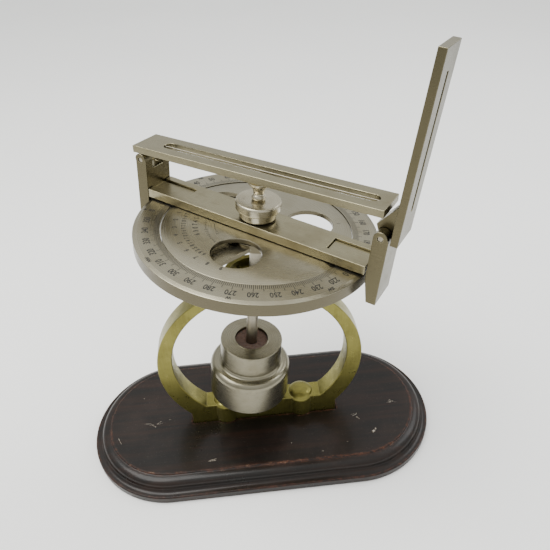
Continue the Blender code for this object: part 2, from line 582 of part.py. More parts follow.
# ---- vanes --------------------------------------------------------------------------------
def build_object_vane(hinge):
    """The long slotted vane, lying folded over the bar, with its sighting wire."""
    face = HINGE_EAR_R + VANE_CLEARANCE
    top = face + OBJECT_VANE_THICK
    half = BAR_HALF_WIDTH
    vane = block("object_vane", (-OBJECT_VANE_HEEL, -half, face), (OBJECT_VANE_LENGTH, half, top), hinge,
                 "satin_silver")
    soften(vane, 0.3 * MM, 1)
    start, end = OBJECT_VANE_SLOT
    slot_half = OBJECT_VANE_SLOT_HALF
    slot = block("object_vane_slot", (start + slot_half, -slot_half, 0.0),
                 (end - slot_half, slot_half, 20 * MM), hinge)
    for x in (start + slot_half, end - slot_half):
        join(slot, cylinder("slot_end", slot_half, 0.0, 20 * MM, hinge, None, MEDIUM, "Z", (x, 0, 0)))
    cut(vane, slot)
    tongue_half = HINGE_SLOT_HALF - 0.4 * MM
    knuckle = arc((0, 0), HINGE_EAR_R - 0.3 * MM, 160, 375, 15) + [(9.5 * MM, face + 0.5 * MM),
                                                                  (-4.6 * MM, face + 0.5 * MM)]
    join(vane, plate("object_vane_tongue", [knuckle], -tongue_half, tongue_half, hinge))
    cut(vane, cylinder("object_vane_pin_hole", HINGE_PIN_R + 0.15 * MM, -20 * MM, 20 * MM, hinge, None,
                       COARSE, "Y"))
    wire_z = top - 1.0 * MM
    hole_reach = 2.2 * MM
    cut(vane, cylinder("wire_hole_cutter", WIRE_R + 0.25 * MM, start - hole_reach, end + hole_reach, hinge,
                       None, 12, "X", (0, 0, wire_z)))
    shade(vane, 30)
    shade(cylinder("sight_wire", WIRE_R, start - hole_reach + 0.3 * MM, end + hole_reach - 0.3 * MM, hinge,
                   "wire", 12, "X", (0, 0, wire_z)))


def build_eye_vane(hinge):
    """The short upright vane with a narrow slit and a sloping root."""
    half = BAR_HALF_WIDTH
    vane = block("eye_vane", (EYE_VANE_FACE, -half, -EYE_VANE_HEEL),
                 (EYE_VANE_FACE + EYE_VANE_THICK, half, EYE_VANE_LENGTH), hinge, "satin_silver")
    soften(vane, 0.3 * MM, 1)
    start, end = EYE_VANE_SLOT
    cut(vane, block("eye_vane_slot", (0.0, -EYE_VANE_SLOT_HALF, start), (20 * MM, EYE_VANE_SLOT_HALF, end),
                    hinge))
    tongue_half = HINGE_SLOT_HALF - 0.4 * MM
    inside = EYE_VANE_FACE + 0.5 * MM
    root = arc((0, 0), HINGE_EAR_R - 0.3 * MM, 180, 340, 12)
    root += [(inside, -1.2 * MM), (inside, 17.6 * MM), (4.2 * MM, 17.6 * MM), (-5.6 * MM, 4.4 * MM)]
    join(vane, plate("eye_vane_root", [root], -tongue_half, tongue_half, hinge))
    cut(vane, cylinder("eye_vane_pin_hole", HINGE_PIN_R + 0.15 * MM, -20 * MM, 20 * MM, hinge, None,
                       COARSE, "Y"))
    shade(vane, 30)


# ---- clamp nut and lock screw -------------------------------------------------------------
def build_clamp(dial):
    """Washer, flanged clamp nut, and the lock screw with its ball neck and flared head."""
    bore = SHAFT_R + BORE_GAP
    washer_top = NUT_BOTTOM - 0.3 * MM
    washer_low = washer_top - 0.4 * MM
    washer = [(10.5 * MM, washer_top), (10.5 * MM, washer_low), (bore, washer_low), (bore, washer_top)]
    shade(turned("thrust_washer", washer, dial, "steel", MEDIUM))
    stem_r = 2.3 * MM
    hole_r = stem_r + 0.3 * MM
    chamber_top = 15.8 * MM
    nut = [(hole_r, NUT_TOP - 0.3 * MM), (8.0 * MM, NUT_TOP), (NUT_FLANGE_R - 1.2 * MM, NUT_TOP),
           (NUT_FLANGE_R - 0.3 * MM, NUT_TOP - 0.4 * MM), (NUT_FLANGE_R, NUT_TOP - 1.2 * MM),
           (NUT_FLANGE_R, NUT_FLANGE_BOTTOM + 0.8 * MM), (NUT_FLANGE_R - 0.7 * MM, NUT_FLANGE_BOTTOM),
           (NUT_BODY_R, NUT_FLANGE_BOTTOM), (NUT_BODY_R, NUT_BOTTOM + 0.4 * MM),
           (NUT_BODY_R - 0.4 * MM, NUT_BOTTOM), (bore, NUT_BOTTOM), (bore, chamber_top),
           (hole_r, chamber_top)]
    shade(turned("clamp_nut", nut, dial, "nickel", MEDIUM))
    top = LOCK_SCREW_TOP
    screw = [(0.0, top), (6.2 * MM, top), (7.0 * MM, top - 0.8 * MM), (6.8 * MM, top - 2.2 * MM),
             (4.6 * MM, top - 5.4 * MM), (3.4 * MM, top - 7.6 * MM), (3.3 * MM, top - 8.4 * MM)]
    ball_r = 4.3 * MM
    ball_z = 20.9 * MM
    for i in range(6):
        a = math.radians(35 - 75 * i / 5)
        screw.append((ball_r * math.cos(a), ball_z + ball_r * 0.75 * math.sin(a)))
    screw += [(stem_r, NUT_TOP - 0.1 * MM), (stem_r, 10.2 * MM), (stem_r - 0.5 * MM, 9.7 * MM),
              (0.0, 9.7 * MM)]
    shade(turned("lock_screw", screw, dial, "steel", COARSE))


# ---- assembly -----------------------------------------------------------------------------
def build_all():
    """Build every sub-part in its own frame."""
    stand = frame("stand_frame")
    build_plinth(stand)
    yoke = frame("yoke_frame", stand, (YOKE_X, 0, 0))
    build_ring_yoke(yoke)
    build_hold_down_screw("hold_down_screw_left", -BOSS_X, yoke)
    build_hold_down_screw("hold_down_screw_right", BOSS_X, yoke)
    build_pivot_screw("pivot_screw_front", -1, yoke)
    build_pivot_screw("pivot_screw_rear", 1, yoke)

    outer = Matrix.Rotation(REST_LEAN_Y, 4, "Y")
    gimbal = frame("gimbal_frame", yoke, (0, 0, PIVOT_Z), outer)
    build_gimbal(gimbal)

    pivot = frame("pendulum_pivot", gimbal, (0, 0, 0), Matrix.Rotation(REST_LEAN_X, 4, "X"))
    dial = frame("dial_axis", pivot, (0, 0, DIAL_HEIGHT))
    build_shaft(dial, pivot)
    build_counterweight(dial)

    bar = frame("bar_direction", dial, (0, 0, 0), Matrix.Rotation(BAR_AZIMUTH, 4, "Z"))
    build_dial(dial, bar)
    build_inner_disc(dial, bar)
    build_sight_bar(bar)
    build_bracket("left_bracket", -1, LEFT_HINGE_Z, LEFT_SKIRT, bar)
    build_bracket("right_bracket", 1, RIGHT_HINGE_Z, RIGHT_SKIRT, bar)

    object_hinge = frame("object_vane_hinge", bar, (-HINGE_X, 0, LEFT_HINGE_Z),
                         Matrix.Rotation(-OBJECT_VANE_REST, 4, "Y"))
    build_object_vane(object_hinge)
    lean = Matrix.Rotation(EYE_VANE_REST, 4, "Y")
    eye_hinge = frame("eye_vane_hinge", bar, (HINGE_X, 0, RIGHT_HINGE_Z), lean)
    build_eye_vane(eye_hinge)
    build_clamp(dial)


clear_scene()
PARTS = bpy.data.collections.new("pelorus")
CUTTERS = bpy.data.collections.new("cutters")
bpy.context.scene.collection.children.link(PARTS)
bpy.context.scene.collection.children.link(CUTTERS)
MATERIALS = {name: make_material(name) for name in FINISHES}
build_all()
bpy.context.view_layer.update()
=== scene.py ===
import json
import math
import random

import bmesh
import bpy
from mathutils import Matrix, Vector, noise


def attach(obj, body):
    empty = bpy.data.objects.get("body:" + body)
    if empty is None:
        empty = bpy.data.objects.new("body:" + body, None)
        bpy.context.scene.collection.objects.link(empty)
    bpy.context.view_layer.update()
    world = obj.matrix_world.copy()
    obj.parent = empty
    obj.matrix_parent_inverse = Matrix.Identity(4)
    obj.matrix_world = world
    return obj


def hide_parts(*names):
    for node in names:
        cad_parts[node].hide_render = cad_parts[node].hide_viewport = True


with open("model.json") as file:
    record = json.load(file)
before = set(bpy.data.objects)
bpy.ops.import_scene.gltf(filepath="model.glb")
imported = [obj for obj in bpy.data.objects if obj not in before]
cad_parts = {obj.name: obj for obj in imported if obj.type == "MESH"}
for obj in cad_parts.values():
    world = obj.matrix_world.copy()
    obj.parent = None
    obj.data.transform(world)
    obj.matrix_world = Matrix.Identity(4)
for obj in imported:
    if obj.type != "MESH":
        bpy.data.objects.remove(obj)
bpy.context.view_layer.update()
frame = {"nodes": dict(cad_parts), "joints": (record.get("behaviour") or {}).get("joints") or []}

MM = 0.001
JOINTS = {joint["name"]: joint for joint in frame["joints"]}

# ---- camera and light ---------------------------------------------------------------------
CAMERA_AT = Vector((-3.9, -286.3, 382.5)) * MM
CAMERA_LOOKS_AT = Vector((18.6, 43.0, 120.0)) * MM
CAMERA_ROLL = math.radians(-2.66)
FOCAL_LENGTH = 36.0
SENSOR_WIDTH = 36.0
HORIZON_LIGHT = 0.62
ZENITH_LIGHT = 1.40
ZENITH_FROM = 0.75
STUDIO_COLOUR = (0.93, 0.94, 0.93, 1.0)
LIGHTS_FACE = (0.0, 0.0, 0.12)
KEY_AT, KEY_SIZE, KEY_POWER, KEY_COLOUR = (-0.45, -0.05, 1.15), 0.8, 15.0, (1.0, 0.99, 0.96)
FILL_AT, FILL_SIZE, FILL_POWER, FILL_COLOUR = (0.85, 0.30, 0.90), 0.6, 5.0, (0.96, 0.98, 1.0)
FLOOR_HALF = 4.0
FLOOR_DROP = 0.0002

# ---- finishes: base colour, second colour, roughness range ---------------------------------
PALE_SILVER = ((0.34, 0.315, 0.235), (0.235, 0.207, 0.138), (0.22, 0.34))
WARM_SILVER = ((0.325, 0.295, 0.195), (0.215, 0.187, 0.110), (0.22, 0.34))
NICKEL = ((0.245, 0.228, 0.168), (0.165, 0.145, 0.095), (0.22, 0.33))
KNOB_NICKEL = ((0.50, 0.460, 0.350), (0.340, 0.300, 0.205), (0.20, 0.32))
BRASS = ((0.215, 0.196, 0.050), (0.145, 0.130, 0.030), (0.26, 0.40))
STEEL = ((0.30, 0.275, 0.22), (0.17, 0.145, 0.10), (0.24, 0.40))

# Painted shade: how much darker the tarnish colour is made on the upright sides of some silver pieces.
SIDE_SHADE_DARKENING = 0.5

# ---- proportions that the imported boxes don't give ------------------------------------------
OBJECT_VANE_REST = math.radians(3.2)
EYE_VANE_REST = math.radians(0.9)
EDGE = 0.35 * MM
GAP = 0.15 * MM
ROUND_STEPS = 160
CUT_REACH = 20 * MM

PLINTH_END_R = 65.35 * MM
PLINTH_HALF_STRAIGHT = 70.8 * MM
PLINTH_H = 16.4 * MM
PLINTH_TOP_INSET = 13.9 * MM
PLINTH_STEPS = 192
RECESS_DEPTH = 2.0 * MM
RECESS_HALF_LENGTH = 58.4 * MM
RECESS_HALF_WIDTH = 8.3 * MM

RING_R = 75.8 * MM
RING_Z = 76.3 * MM
RING_INNER_R = 64.5 * MM
RING_INNER_Z = 80.8 * MM
RING_HALF_WIDTH = 7.2 * MM
FOOT_HALF_LENGTH = 57.5 * MM
FOOT_TOP_Z = 34.5 * MM
BOSS_X = 30.0 * MM
BOSS_R = 10.4 * MM
BOSS_TOP_Z = 37.0 * MM
HOLD_DOWN_R = 2.5 * MM
HOLD_DOWN_HEAD_R = 5.6 * MM
HOLD_DOWN_HEAD_TOP = 4.2 * MM
PIVOT_Z = 150.0 * MM
HEAD_R = 21.5 * MM
HEAD_BORE_R = 17.3 * MM
HEAD_LOW = 7.0 * MM
HEAD_HIGH = 8.0 * MM
PIVOT_SCREW_R = 2.0 * MM

RIM_R = 75.9 * MM
RIM_FLAT_R = 73.4 * MM
RIM_BEVEL_DROP = 0.7 * MM
RIM_THICK = 8.4 * MM
RIM_INNER_R = 59.5 * MM
SPOKE_ANGLES = (-105.0, 15.0, 135.0)
SPOKE_HALF_WIDTH = 10.0 * MM
SPOKE_TOP = -5.0 * MM
SPOKE_BOTTOM = -8.1 * MM
HUB_R = 18.0 * MM
HUB_TOP = -3.4 * MM
HUB_BOTTOM = -8.7 * MM
JOURNAL_R = 7.0 * MM
SHAFT_R = 4.0 * MM
SHAFT_TOP = 15.5 * MM
SHAFT_WELL_R = 2.65 * MM
SHAFT_WELL_FLOOR = 9.4 * MM
COLLAR_R = 12.0 * MM
COLLAR_TOP = -9.0 * MM
DISC_R = 59.1 * MM
DISC_FLAT_R = 53.3 * MM
DISC_TOP = 0.7 * MM
DISC_EDGE_TOP = -0.5 * MM
DISC_BOTTOM = -2.0 * MM
WINDOW_R = 15.0 * MM
WINDOW_PITCH_R = 33.4 * MM
WINDOW_ANGLES = (-80.0, 40.0, 160.0)

WEIGHT_TOP = -94.8 * MM
WEIGHT_SHOULDER = -120.4 * MM
WEIGHT_BOTTOM = -144.0 * MM
WEIGHT_UPPER_R = 22.3 * MM
WEIGHT_R = 29.5 * MM
WEIGHT_BORE_R = 11.8 * MM
WEIGHT_BORE_FLOOR = -119.2 * MM
NUT_RECESS_R = 10.0 * MM
NUT_RECESS_TOP = -138.0 * MM
SHAFT_END = -143.0 * MM

BAR_HALF_WIDTH = 11.5 * MM
BAR_HALF_LENGTH = 76.1 * MM
BAR_BOTTOM = 1.2 * MM
BAR_TOP = 6.8 * MM
POCKET_START = 50.0 * MM
POCKET_HALF_WIDTH = 6.3 * MM
POCKET_FLOOR = 3.6 * MM
BRACKET_FOOT_TOP = 5.4 * MM
BRACKET_TIP_THICK = 5.8 * MM
LEFT_BRACKET_XS = (76.5 * MM, 84.6 * MM)
RIGHT_BRACKET_XS = (77.0 * MM, 85.8 * MM)
LEFT_SKIRT = 12.6 * MM
RIGHT_SKIRT = 16.4 * MM
BRACKET_SCREW_XS = (56.0 * MM, 68.0 * MM)
HINGE_X = 81.0 * MM
HINGE_EAR_R = 4.1 * MM
HINGE_SLOT_HALF = 5.0 * MM
HINGE_SLOT_DEPTH = 6.4 * MM
HINGE_PIN_R = 1.6 * MM

OBJECT_VANE_LENGTH = 162.0 * MM
OBJECT_VANE_HEEL = 5.0 * MM
OBJECT_VANE_FACE = 4.45 * MM
OBJECT_VANE_TOP = 8.95 * MM
OBJECT_VANE_SLOT = (12.0 * MM, 155.5 * MM)
OBJECT_VANE_SLOT_HALF = 4.0 * MM
EYE_VANE_LENGTH = 98.5 * MM
EYE_VANE_HEEL = 1.8 * MM
EYE_VANE_THICK = 4.3 * MM
EYE_VANE_FACE = 5.6 * MM
EYE_VANE_SLOT = (15.5 * MM, 86.5 * MM)
EYE_VANE_SLOT_HALF = 1.4 * MM
WIRE_R = 0.35 * MM
WIRE_HOLE_REACH = 2.2 * MM

NUT_BOTTOM = 8.2 * MM
NUT_TOP = 19.1 * MM
NUT_FLANGE_R = 14.0 * MM
NUT_BODY_R = 11.5 * MM
NUT_FLANGE_BOTTOM = 13.2 * MM
LOCK_SCREW_TOP = 32.0 * MM
LOCK_SCREW_BOTTOM = 9.7 * MM
LOCK_STEM_R = 2.3 * MM
LOCK_HEAD_R = 6.8 * MM
LOCK_BALL_R = 4.3 * MM
LOCK_BALL_HALF_H = 3.3 * MM
LOCK_BALL_Z = 20.9 * MM

# ---- graduations: angles are in degrees in the bar's frame -----------------------------------
SCALE_ZERO = 199.3
TICK_INNER_R = 59.9 * MM
TICK_OUTER_RS = (63.2 * MM, 65.2 * MM, 65.6 * MM)
TICK_WIDTH = 0.36 * MM
NUMERAL_R = 68.1 * MM
NUMERAL_SIZE = 5.6 * MM
NUMERAL_NARROW = 0.76
LETTER_R = 72.6 * MM
LETTER_SIZE = 3.0 * MM
MARK_LIFT = 0.03 * MM
STROKE_GAIN = 0.13 * MM


# ---- frames ---------------------------------------------------------------------------------
def axes(origin, x_axis, y_axis, z_axis):
    """Matrix of a local frame given by its origin and its three unit axes."""
    matrix = Matrix((x_axis, y_axis, z_axis)).transposed().to_4x4()
    matrix.translation = origin
    return matrix


def bar_frame_at(joint_name):
    """Frame in line with the sight bar, at a joint's position."""
    up = Vector(JOINTS["bar_turn"]["axis"]).normalized()
    across = -Vector(JOINTS["object_vane_raise"]["axis"]).normalized()
    return axes(Vector(JOINTS[joint_name]["pos_m"]), across.cross(up), across, up)


BAR = bar_frame_at("bar_turn")
OBJECT_HINGE = bar_frame_at("object_vane_raise") @ Matrix.Rotation(-OBJECT_VANE_REST, 4, "Y")
EYE_HINGE = bar_frame_at("eye_vane_lean") @ Matrix.Rotation(EYE_VANE_REST, 4, "Y")
STAND = Matrix.Identity(4)
YOKE = Matrix.Translation((JOINTS["gimbal_outer_swing"]["pos_m"][0], 0, 0))
LEFT_HINGE_Z = (BAR.inverted() @ OBJECT_HINGE.translation).z
RIGHT_HINGE_Z = (BAR.inverted() @ EYE_HINGE.translation).z


# ---- mesh helpers ---------------------------------------------------------------------------
def new_piece(name, mesh, matrix):
    """Object with a mesh in a local frame."""
    piece = bpy.data.objects.new(name, mesh)
    bpy.context.scene.collection.objects.link(piece)
    piece.matrix_world = matrix
    return piece


def bake_modifiers(piece):
    """Turn an object's modifiers into its mesh."""
    bpy.context.view_layer.update()
    graph = bpy.context.evaluated_depsgraph_get()
    mesh = bpy.data.meshes.new_from_object(piece.evaluated_get(graph))
    piece.modifiers.clear()
    piece.data = mesh
    return piece


def boolean(piece, operation, *others):
    """Cut or join with other objects, which are used up."""
    for other in others:
        modifier = piece.modifiers.new(operation, "BOOLEAN")
        modifier.operation = operation
        modifier.solver = "EXACT"
        modifier.object = other
        bake_modifiers(piece)
        bpy.data.objects.remove(other, do_unlink=True)
    return piece


def bevel(piece, width=EDGE, segments=3, angle=30.0):
    """Round the edges that are sharper than an angle."""
    modifier = piece.modifiers.new("bevel", "BEVEL")
    modifier.width = width
    modifier.segments = segments
    modifier.limit_method = "ANGLE"
    modifier.angle_limit = math.radians(angle)
    modifier.miter_outer = "MITER_ARC"
    return bake_modifiers(piece)


def smooth(piece, angle=38.0, weighted=True):
    """Smooth shading that keeps flats flat."""
    piece.data.shade_smooth()
    piece.data.set_sharp_from_angle(angle=math.radians(angle))
    if weighted:
        modifier = piece.modifiers.new("normals", "WEIGHTED_NORMAL")
        modifier.keep_sharp = True
        bake_modifiers(piece)
    return piece


def rounded(points, radius, closed=False, cuts=4):
    """Round each corner of a profile with a short curve."""
    result = []
    count = len(points)
    for i, corner in enumerate(points):
        if not closed and i in (0, count - 1):
            result.append(corner)
            continue
        here = Vector(corner)
        before = Vector(points[i - 1]) - here
        after = Vector(points[(i + 1) % count]) - here
        turn = math.pi - before.angle(after)
        if turn < math.radians(12):
            result.append(corner)
            continue
        start = here + before.normalized() * min(radius, before.length * 0.45)
        end = here + after.normalized() * min(radius, after.length * 0.45)
        for step in range(cuts + 1):
            t = step / cuts
            point = start * (1 - t) ** 2 + here * (2 * t * (1 - t)) + end * t ** 2
            result.append((point.x, point.y))
    return result


def lathe(name, profile, matrix, steps=ROUND_STEPS, radius=EDGE, axis="Z"):
    """Turned piece.  The profile runs down the outer side; off the axis it closes into a ring."""
    ring = profile[0][0] > 0.0
    profile = rounded(profile, radius, closed=ring)
    shape = bmesh.new()
    columns = []
    for step in range(steps):
        a = 2 * math.pi * step / steps
        columns.append([shape.verts.new((r * math.cos(a), r * math.sin(a), z)) for r, z in profile])
    links = len(profile) if ring else len(profile) - 1
    for step in range(steps):
        here = columns[step]
        there = columns[(step + 1) % steps]
        for j in range(links):
            k = (j + 1) % len(profile)
            shape.faces.new((here[j], here[k], there[k], there[j]))
    bmesh.ops.remove_doubles(shape, verts=shape.verts, dist=0.000002)
    bmesh.ops.recalc_face_normals(shape, faces=shape.faces)
    mesh = bpy.data.meshes.new(name)
    shape.to_mesh(mesh)
    shape.free()
    turn = {"X": Matrix.Rotation(math.pi / 2, 4, "Y"), "Y": Matrix.Rotation(-math.pi / 2, 4, "X"),
            "Z": Matrix.Identity(4)}[axis]
    return new_piece(name, mesh, matrix @ turn)


def rod(name, radius, low, high, matrix, axis="Z", steps=64, edge=0.0001):
    """Cylinder with softened ends along an axis."""
    profile = [(0.0, high), (radius, high), (radius, low), (0.0, low)]
    return lathe(name, profile, matrix, steps, edge, axis)


def block(name, low, high, matrix):
    """Rectangular block between two corners."""
    low = Vector(low)
    high = Vector(high)
    shape = bmesh.new()
    bmesh.ops.create_cube(shape, size=1.0)
    bmesh.ops.scale(shape, vec=high - low, verts=shape.verts)
    bmesh.ops.translate(shape, vec=(low + high) / 2, verts=shape.verts)
    mesh = bpy.data.meshes.new(name)
    shape.to_mesh(mesh)
    shape.free()
    return new_piece(name, mesh, matrix)


def plate(name, outlines, low_y, high_y, matrix):
    """Flat plate: outlines of (x, z) points, holes included, between two y values."""
    curve = bpy.data.curves.new(name, "CURVE")
    curve.dimensions = "2D"
    curve.fill_mode = "BOTH"
    curve.extrude = (high_y - low_y) / 2
    for outline in outlines:
        spline = curve.splines.new("POLY")
        spline.points.add(len(outline) - 1)
        for point, (x, z) in zip(spline.points, outline):
            point.co = (x, z, 0.0, 1.0)
        spline.use_cyclic_u = True
    flat = new_piece(name, curve, Matrix.Identity(4))
    bpy.context.view_layer.update()
    graph = bpy.context.evaluated_depsgraph_get()
    mesh = bpy.data.meshes.new_from_object(flat.evaluated_get(graph))
    bpy.data.objects.remove(flat, do_unlink=True)
    shape = bmesh.new()
    shape.from_mesh(mesh)
    bmesh.ops.remove_doubles(shape, verts=shape.verts, dist=0.000001)
    bmesh.ops.dissolve_limit(shape, angle_limit=0.002, verts=shape.verts, edges=shape.edges)
    shape.to_mesh(mesh)
    shape.free()
    middle = Matrix.Translation((0, (low_y + high_y) / 2, 0))
    mesh.transform(middle @ Matrix.Rotation(math.pi / 2, 4, "X"))
    return new_piece(name, mesh, matrix)


def arc(centre, radius, start, end, count):
    """Points along an arc, angles in degrees."""
    angles = [math.radians(start + (end - start) * i / (count - 1)) for i in range(count)]
    return [(centre[0] + radius * math.cos(a), centre[1] + radius * math.sin(a)) for a in angles]


def place(piece, body, slot, material, *nodes):
    """Settle a piece in the model's frame, with its material, body and the nodes it replaces; the slot
    argument is not used.
    """
    piece.data.transform(piece.matrix_world)
    piece.matrix_world = Matrix.Identity(4)
    piece.data.materials.clear()
    piece.data.materials.append(material)
    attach(piece, body)
    if nodes:
        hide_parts(*nodes)
    return piece


# ---- materials --------------------------------------------------------------------------------
class Graph:
    """A node material that is built by short calls, with its patterns laid out in a local frame."""

    def __init__(self, name, layout=Matrix.Identity(4)):
        self.material = bpy.data.materials.new(name)
        self.material.use_nodes = True
        self.tree = self.material.node_tree
        self.shader = self.tree.nodes["Principled BSDF"]
        source = self.tree.nodes.new("ShaderNodeTexCoord")
        turn = layout.to_euler("XYZ")
        place_back = {"Vector": source.outputs["Object"], "Location": layout.translation, "Rotation": turn}
        turn_back = {"Vector": source.outputs["Normal"], "Rotation": turn}
        self.coordinates = self.node("ShaderNodeMapping", place_back, vector_type="TEXTURE").outputs[0]
        self.normals = self.node("ShaderNodeMapping", turn_back, vector_type="TEXTURE").outputs[0]

    def node(self, kind, inputs=(), **settings):
        """Add a node, with its inputs given as numbers, colours or other nodes' outputs."""
        node = self.tree.nodes.new(kind)
        for key, value in settings.items():
            setattr(node, key, value)
        for key, value in dict(inputs).items():
            if isinstance(value, bpy.types.NodeSocket):
                self.tree.links.new(value, node.inputs[key])
            else:
                node.inputs[key].default_value = value
        return node

    def math(self, operation, a, b=0.0, clamp=False):
        """One arithmetic step."""
        return self.node("ShaderNodeMath", {0: a, 1: b}, operation=operation, use_clamp=clamp).outputs[0]

    def noise(self, scale, detail=3.0, roughness=0.55, stretch=(1.0, 1.0, 1.0)):
        """Noise in the piece's own coordinates, stretched along chosen axes."""
        mapping = self.node("ShaderNodeMapping", {"Vector": self.coordinates, "Scale": stretch})
        texture = self.node("ShaderNodeTexNoise", {"Vector": mapping.outputs[0], "Scale": scale,
                                                   "Detail": detail, "Roughness": roughness})
        return texture.outputs["Fac"]

    def rings(self, scale):
        """Fine concentric turning marks about the piece's axis."""
        parts = self.node("ShaderNodeSeparateXYZ", {0: self.coordinates})
        x_squared = self.math("MULTIPLY", parts.outputs[0], parts.outputs[0])
        y_squared = self.math("MULTIPLY", parts.outputs[1], parts.outputs[1])
        radius = self.math("SQRT", self.math("ADD", x_squared, y_squared))
        along = self.math("ADD", radius, parts.outputs[2])
        texture = self.node("ShaderNodeTexNoise", {"W": along, "Scale": scale, "Detail": 4.0},
                            noise_dimensions="1D")
        return texture.outputs["Fac"]

    def between(self, value, low, high, to_low=0.0, to_high=1.0):
        """Remap a value from one range to another, with soft ends."""
        return self.node("ShaderNodeMapRange", {0: value, 1: low, 2: high, 3: to_low, 4: to_high},
                         interpolation_type="SMOOTHSTEP").outputs[0]

    def mix(self, factor, a, b):
        """Blend two colours."""
        colours = {6: a if isinstance(a, bpy.types.NodeSocket) else (*a, 1.0),
                   7: b if isinstance(b, bpy.types.NodeSocket) else (*b, 1.0)}
        return self.node("ShaderNodeMix", {0: factor, **colours}, data_type="RGBA").outputs[2]

    def edges(self, radius):
        """Close to 1 along sharp edges, 0 on flats."""
        around = self.node("ShaderNodeBevel", {"Radius": radius}, samples=6).outputs[0]
        flat = self.node("ShaderNodeNewGeometry").outputs["Normal"]
        likeness = self.node("ShaderNodeVectorMath", {0: around, 1: flat}, operation="DOT_PRODUCT")
        return self.between(likeness.outputs["Value"], 0.999, 0.93)

    def set(self, **inputs):
        """Link or set the shader's inputs, with spaces written as underscores."""
        for key, value in inputs.items():
            socket = self.shader.inputs[key.replace("_", " ")]
            if isinstance(value, bpy.types.NodeSocket):
                self.tree.links.new(value, socket)
            else:
                socket.default_value = value

    def bump(self, height, distance, strength=1.0):
        """Raise the surface by a height pattern."""
        node = self.node("ShaderNodeBump", {"Height": height, "Distance": distance, "Strength": strength})
        self.tree.links.new(node.outputs[0], self.shader.inputs["Normal"])


def metal(name, finish, grain, fine=2600.0, spots=0.5, edge=0.0004, painted_side_shade=0.0):
    """Worn metal with turning or brushing marks, tarnish clouds, small spots, rubbed edges and, if asked,
    painted shade that darkens its upright sides.
    """
    base, tarnish, (smoothest, roughest) = finish
    graph = Graph(name, BAR)
    if grain == "turned":
        marks = graph.rings(fine)
    elif grain == "brushed":
        marks = graph.noise(fine, 3.0, 0.6, (0.02, 1.0, 1.0))
    else:
        marks = graph.noise(fine * 0.4, 4.0, 0.7)
    clouds = graph.noise(42.0, 5.0, 0.62)
    grime = graph.noise(190.0, 4.0, 0.7)
    specks = graph.between(graph.noise(900.0, 2.0, 0.5), 0.70, 0.76)
    cloudy = graph.between(clouds, 0.40, 0.72, 0.0, 0.55)
    dirty = graph.math("MULTIPLY", graph.between(grime, 0.52, 0.74), 0.35)
    stain = graph.math("ADD", cloudy, dirty, clamp=True)
    colour = graph.mix(stain, base, tarnish)
    streak = graph.between(marks, 0.25, 0.75, 0.0, 0.12)
    colour = graph.mix(streak, colour, tuple(channel * 0.72 for channel in base))
    # Painted shade: faces that stand upright are darkened in colour, standing in for the shade that falls on
    # the sides.
    if painted_side_shade:
        parts = graph.node("ShaderNodeSeparateXYZ", {0: graph.normals})
        side_shade_mask = graph.between(graph.math("ABSOLUTE", parts.outputs[2]), 0.85, 0.35, 0.0, painted_side_shade)
        colour = graph.mix(side_shade_mask, colour, tuple(channel * SIDE_SHADE_DARKENING for channel in tarnish))
    spotted = graph.math("MULTIPLY", specks, spots)
    colour = graph.mix(spotted, colour, (0.07, 0.055, 0.035))
    rubbed = graph.math("MULTIPLY", graph.edges(edge), graph.between(grime, 0.35, 0.6, 0.35, 0.9))
    bright = tuple(min(1.0, channel * 1.35) for channel in base)
    colour = graph.mix(rubbed, colour, bright)
    rough = graph.math("ADD", graph.between(marks, 0.2, 0.8, smoothest, roughest),
                       graph.math("MULTIPLY", stain, 0.10))
    rough = graph.math("SUBTRACT", rough, graph.math("MULTIPLY", rubbed, 0.08))
    graph.set(Base_Color=colour, Metallic=1.0, Roughness=rough)
    relief = graph.math("ADD", graph.math("MULTIPLY", marks, 0.35), graph.math("MULTIPLY", grime, 0.5))
    graph.bump(relief, 0.00003, 0.5)
    return graph.material


def cast_brass():
    """Dull yellow casting: mottled, faintly sandy, rubbed along its edges."""
    base, dull, (smoothest, roughest) = BRASS
    graph = Graph("cast_brass")
    clouds = graph.noise(38.0, 5.0, 0.65)
    sand = graph.noise(1400.0, 3.0, 0.6)
    filed = graph.noise(700.0, 3.0, 0.6, (1.0, 1.0, 0.05))
    grime = graph.noise(150.0, 5.0, 0.7)
    colour = graph.mix(graph.between(clouds, 0.36, 0.70), base, dull)
    colour = graph.mix(graph.between(grime, 0.55, 0.78, 0.0, 0.55), colour, (0.095, 0.082, 0.026))
    colour = graph.mix(graph.between(filed, 0.3, 0.8, 0.0, 0.25), colour, (0.30, 0.27, 0.09))
    rubbed = graph.math("MULTIPLY", graph.edges(0.0007), graph.between(grime, 0.3, 0.6, 0.3, 0.85))
    colour = graph.mix(rubbed, colour, (0.42, 0.38, 0.17))
    rough = graph.between(grime, 0.3, 0.75, smoothest, roughest)
    graph.set(Base_Color=colour, Metallic=0.85, Roughness=rough)
    relief = graph.math("ADD", graph.math("MULTIPLY", sand, 0.6), graph.math("MULTIPLY", clouds, 1.6))
    graph.bump(relief, 0.00008, 0.45)
    return graph.material


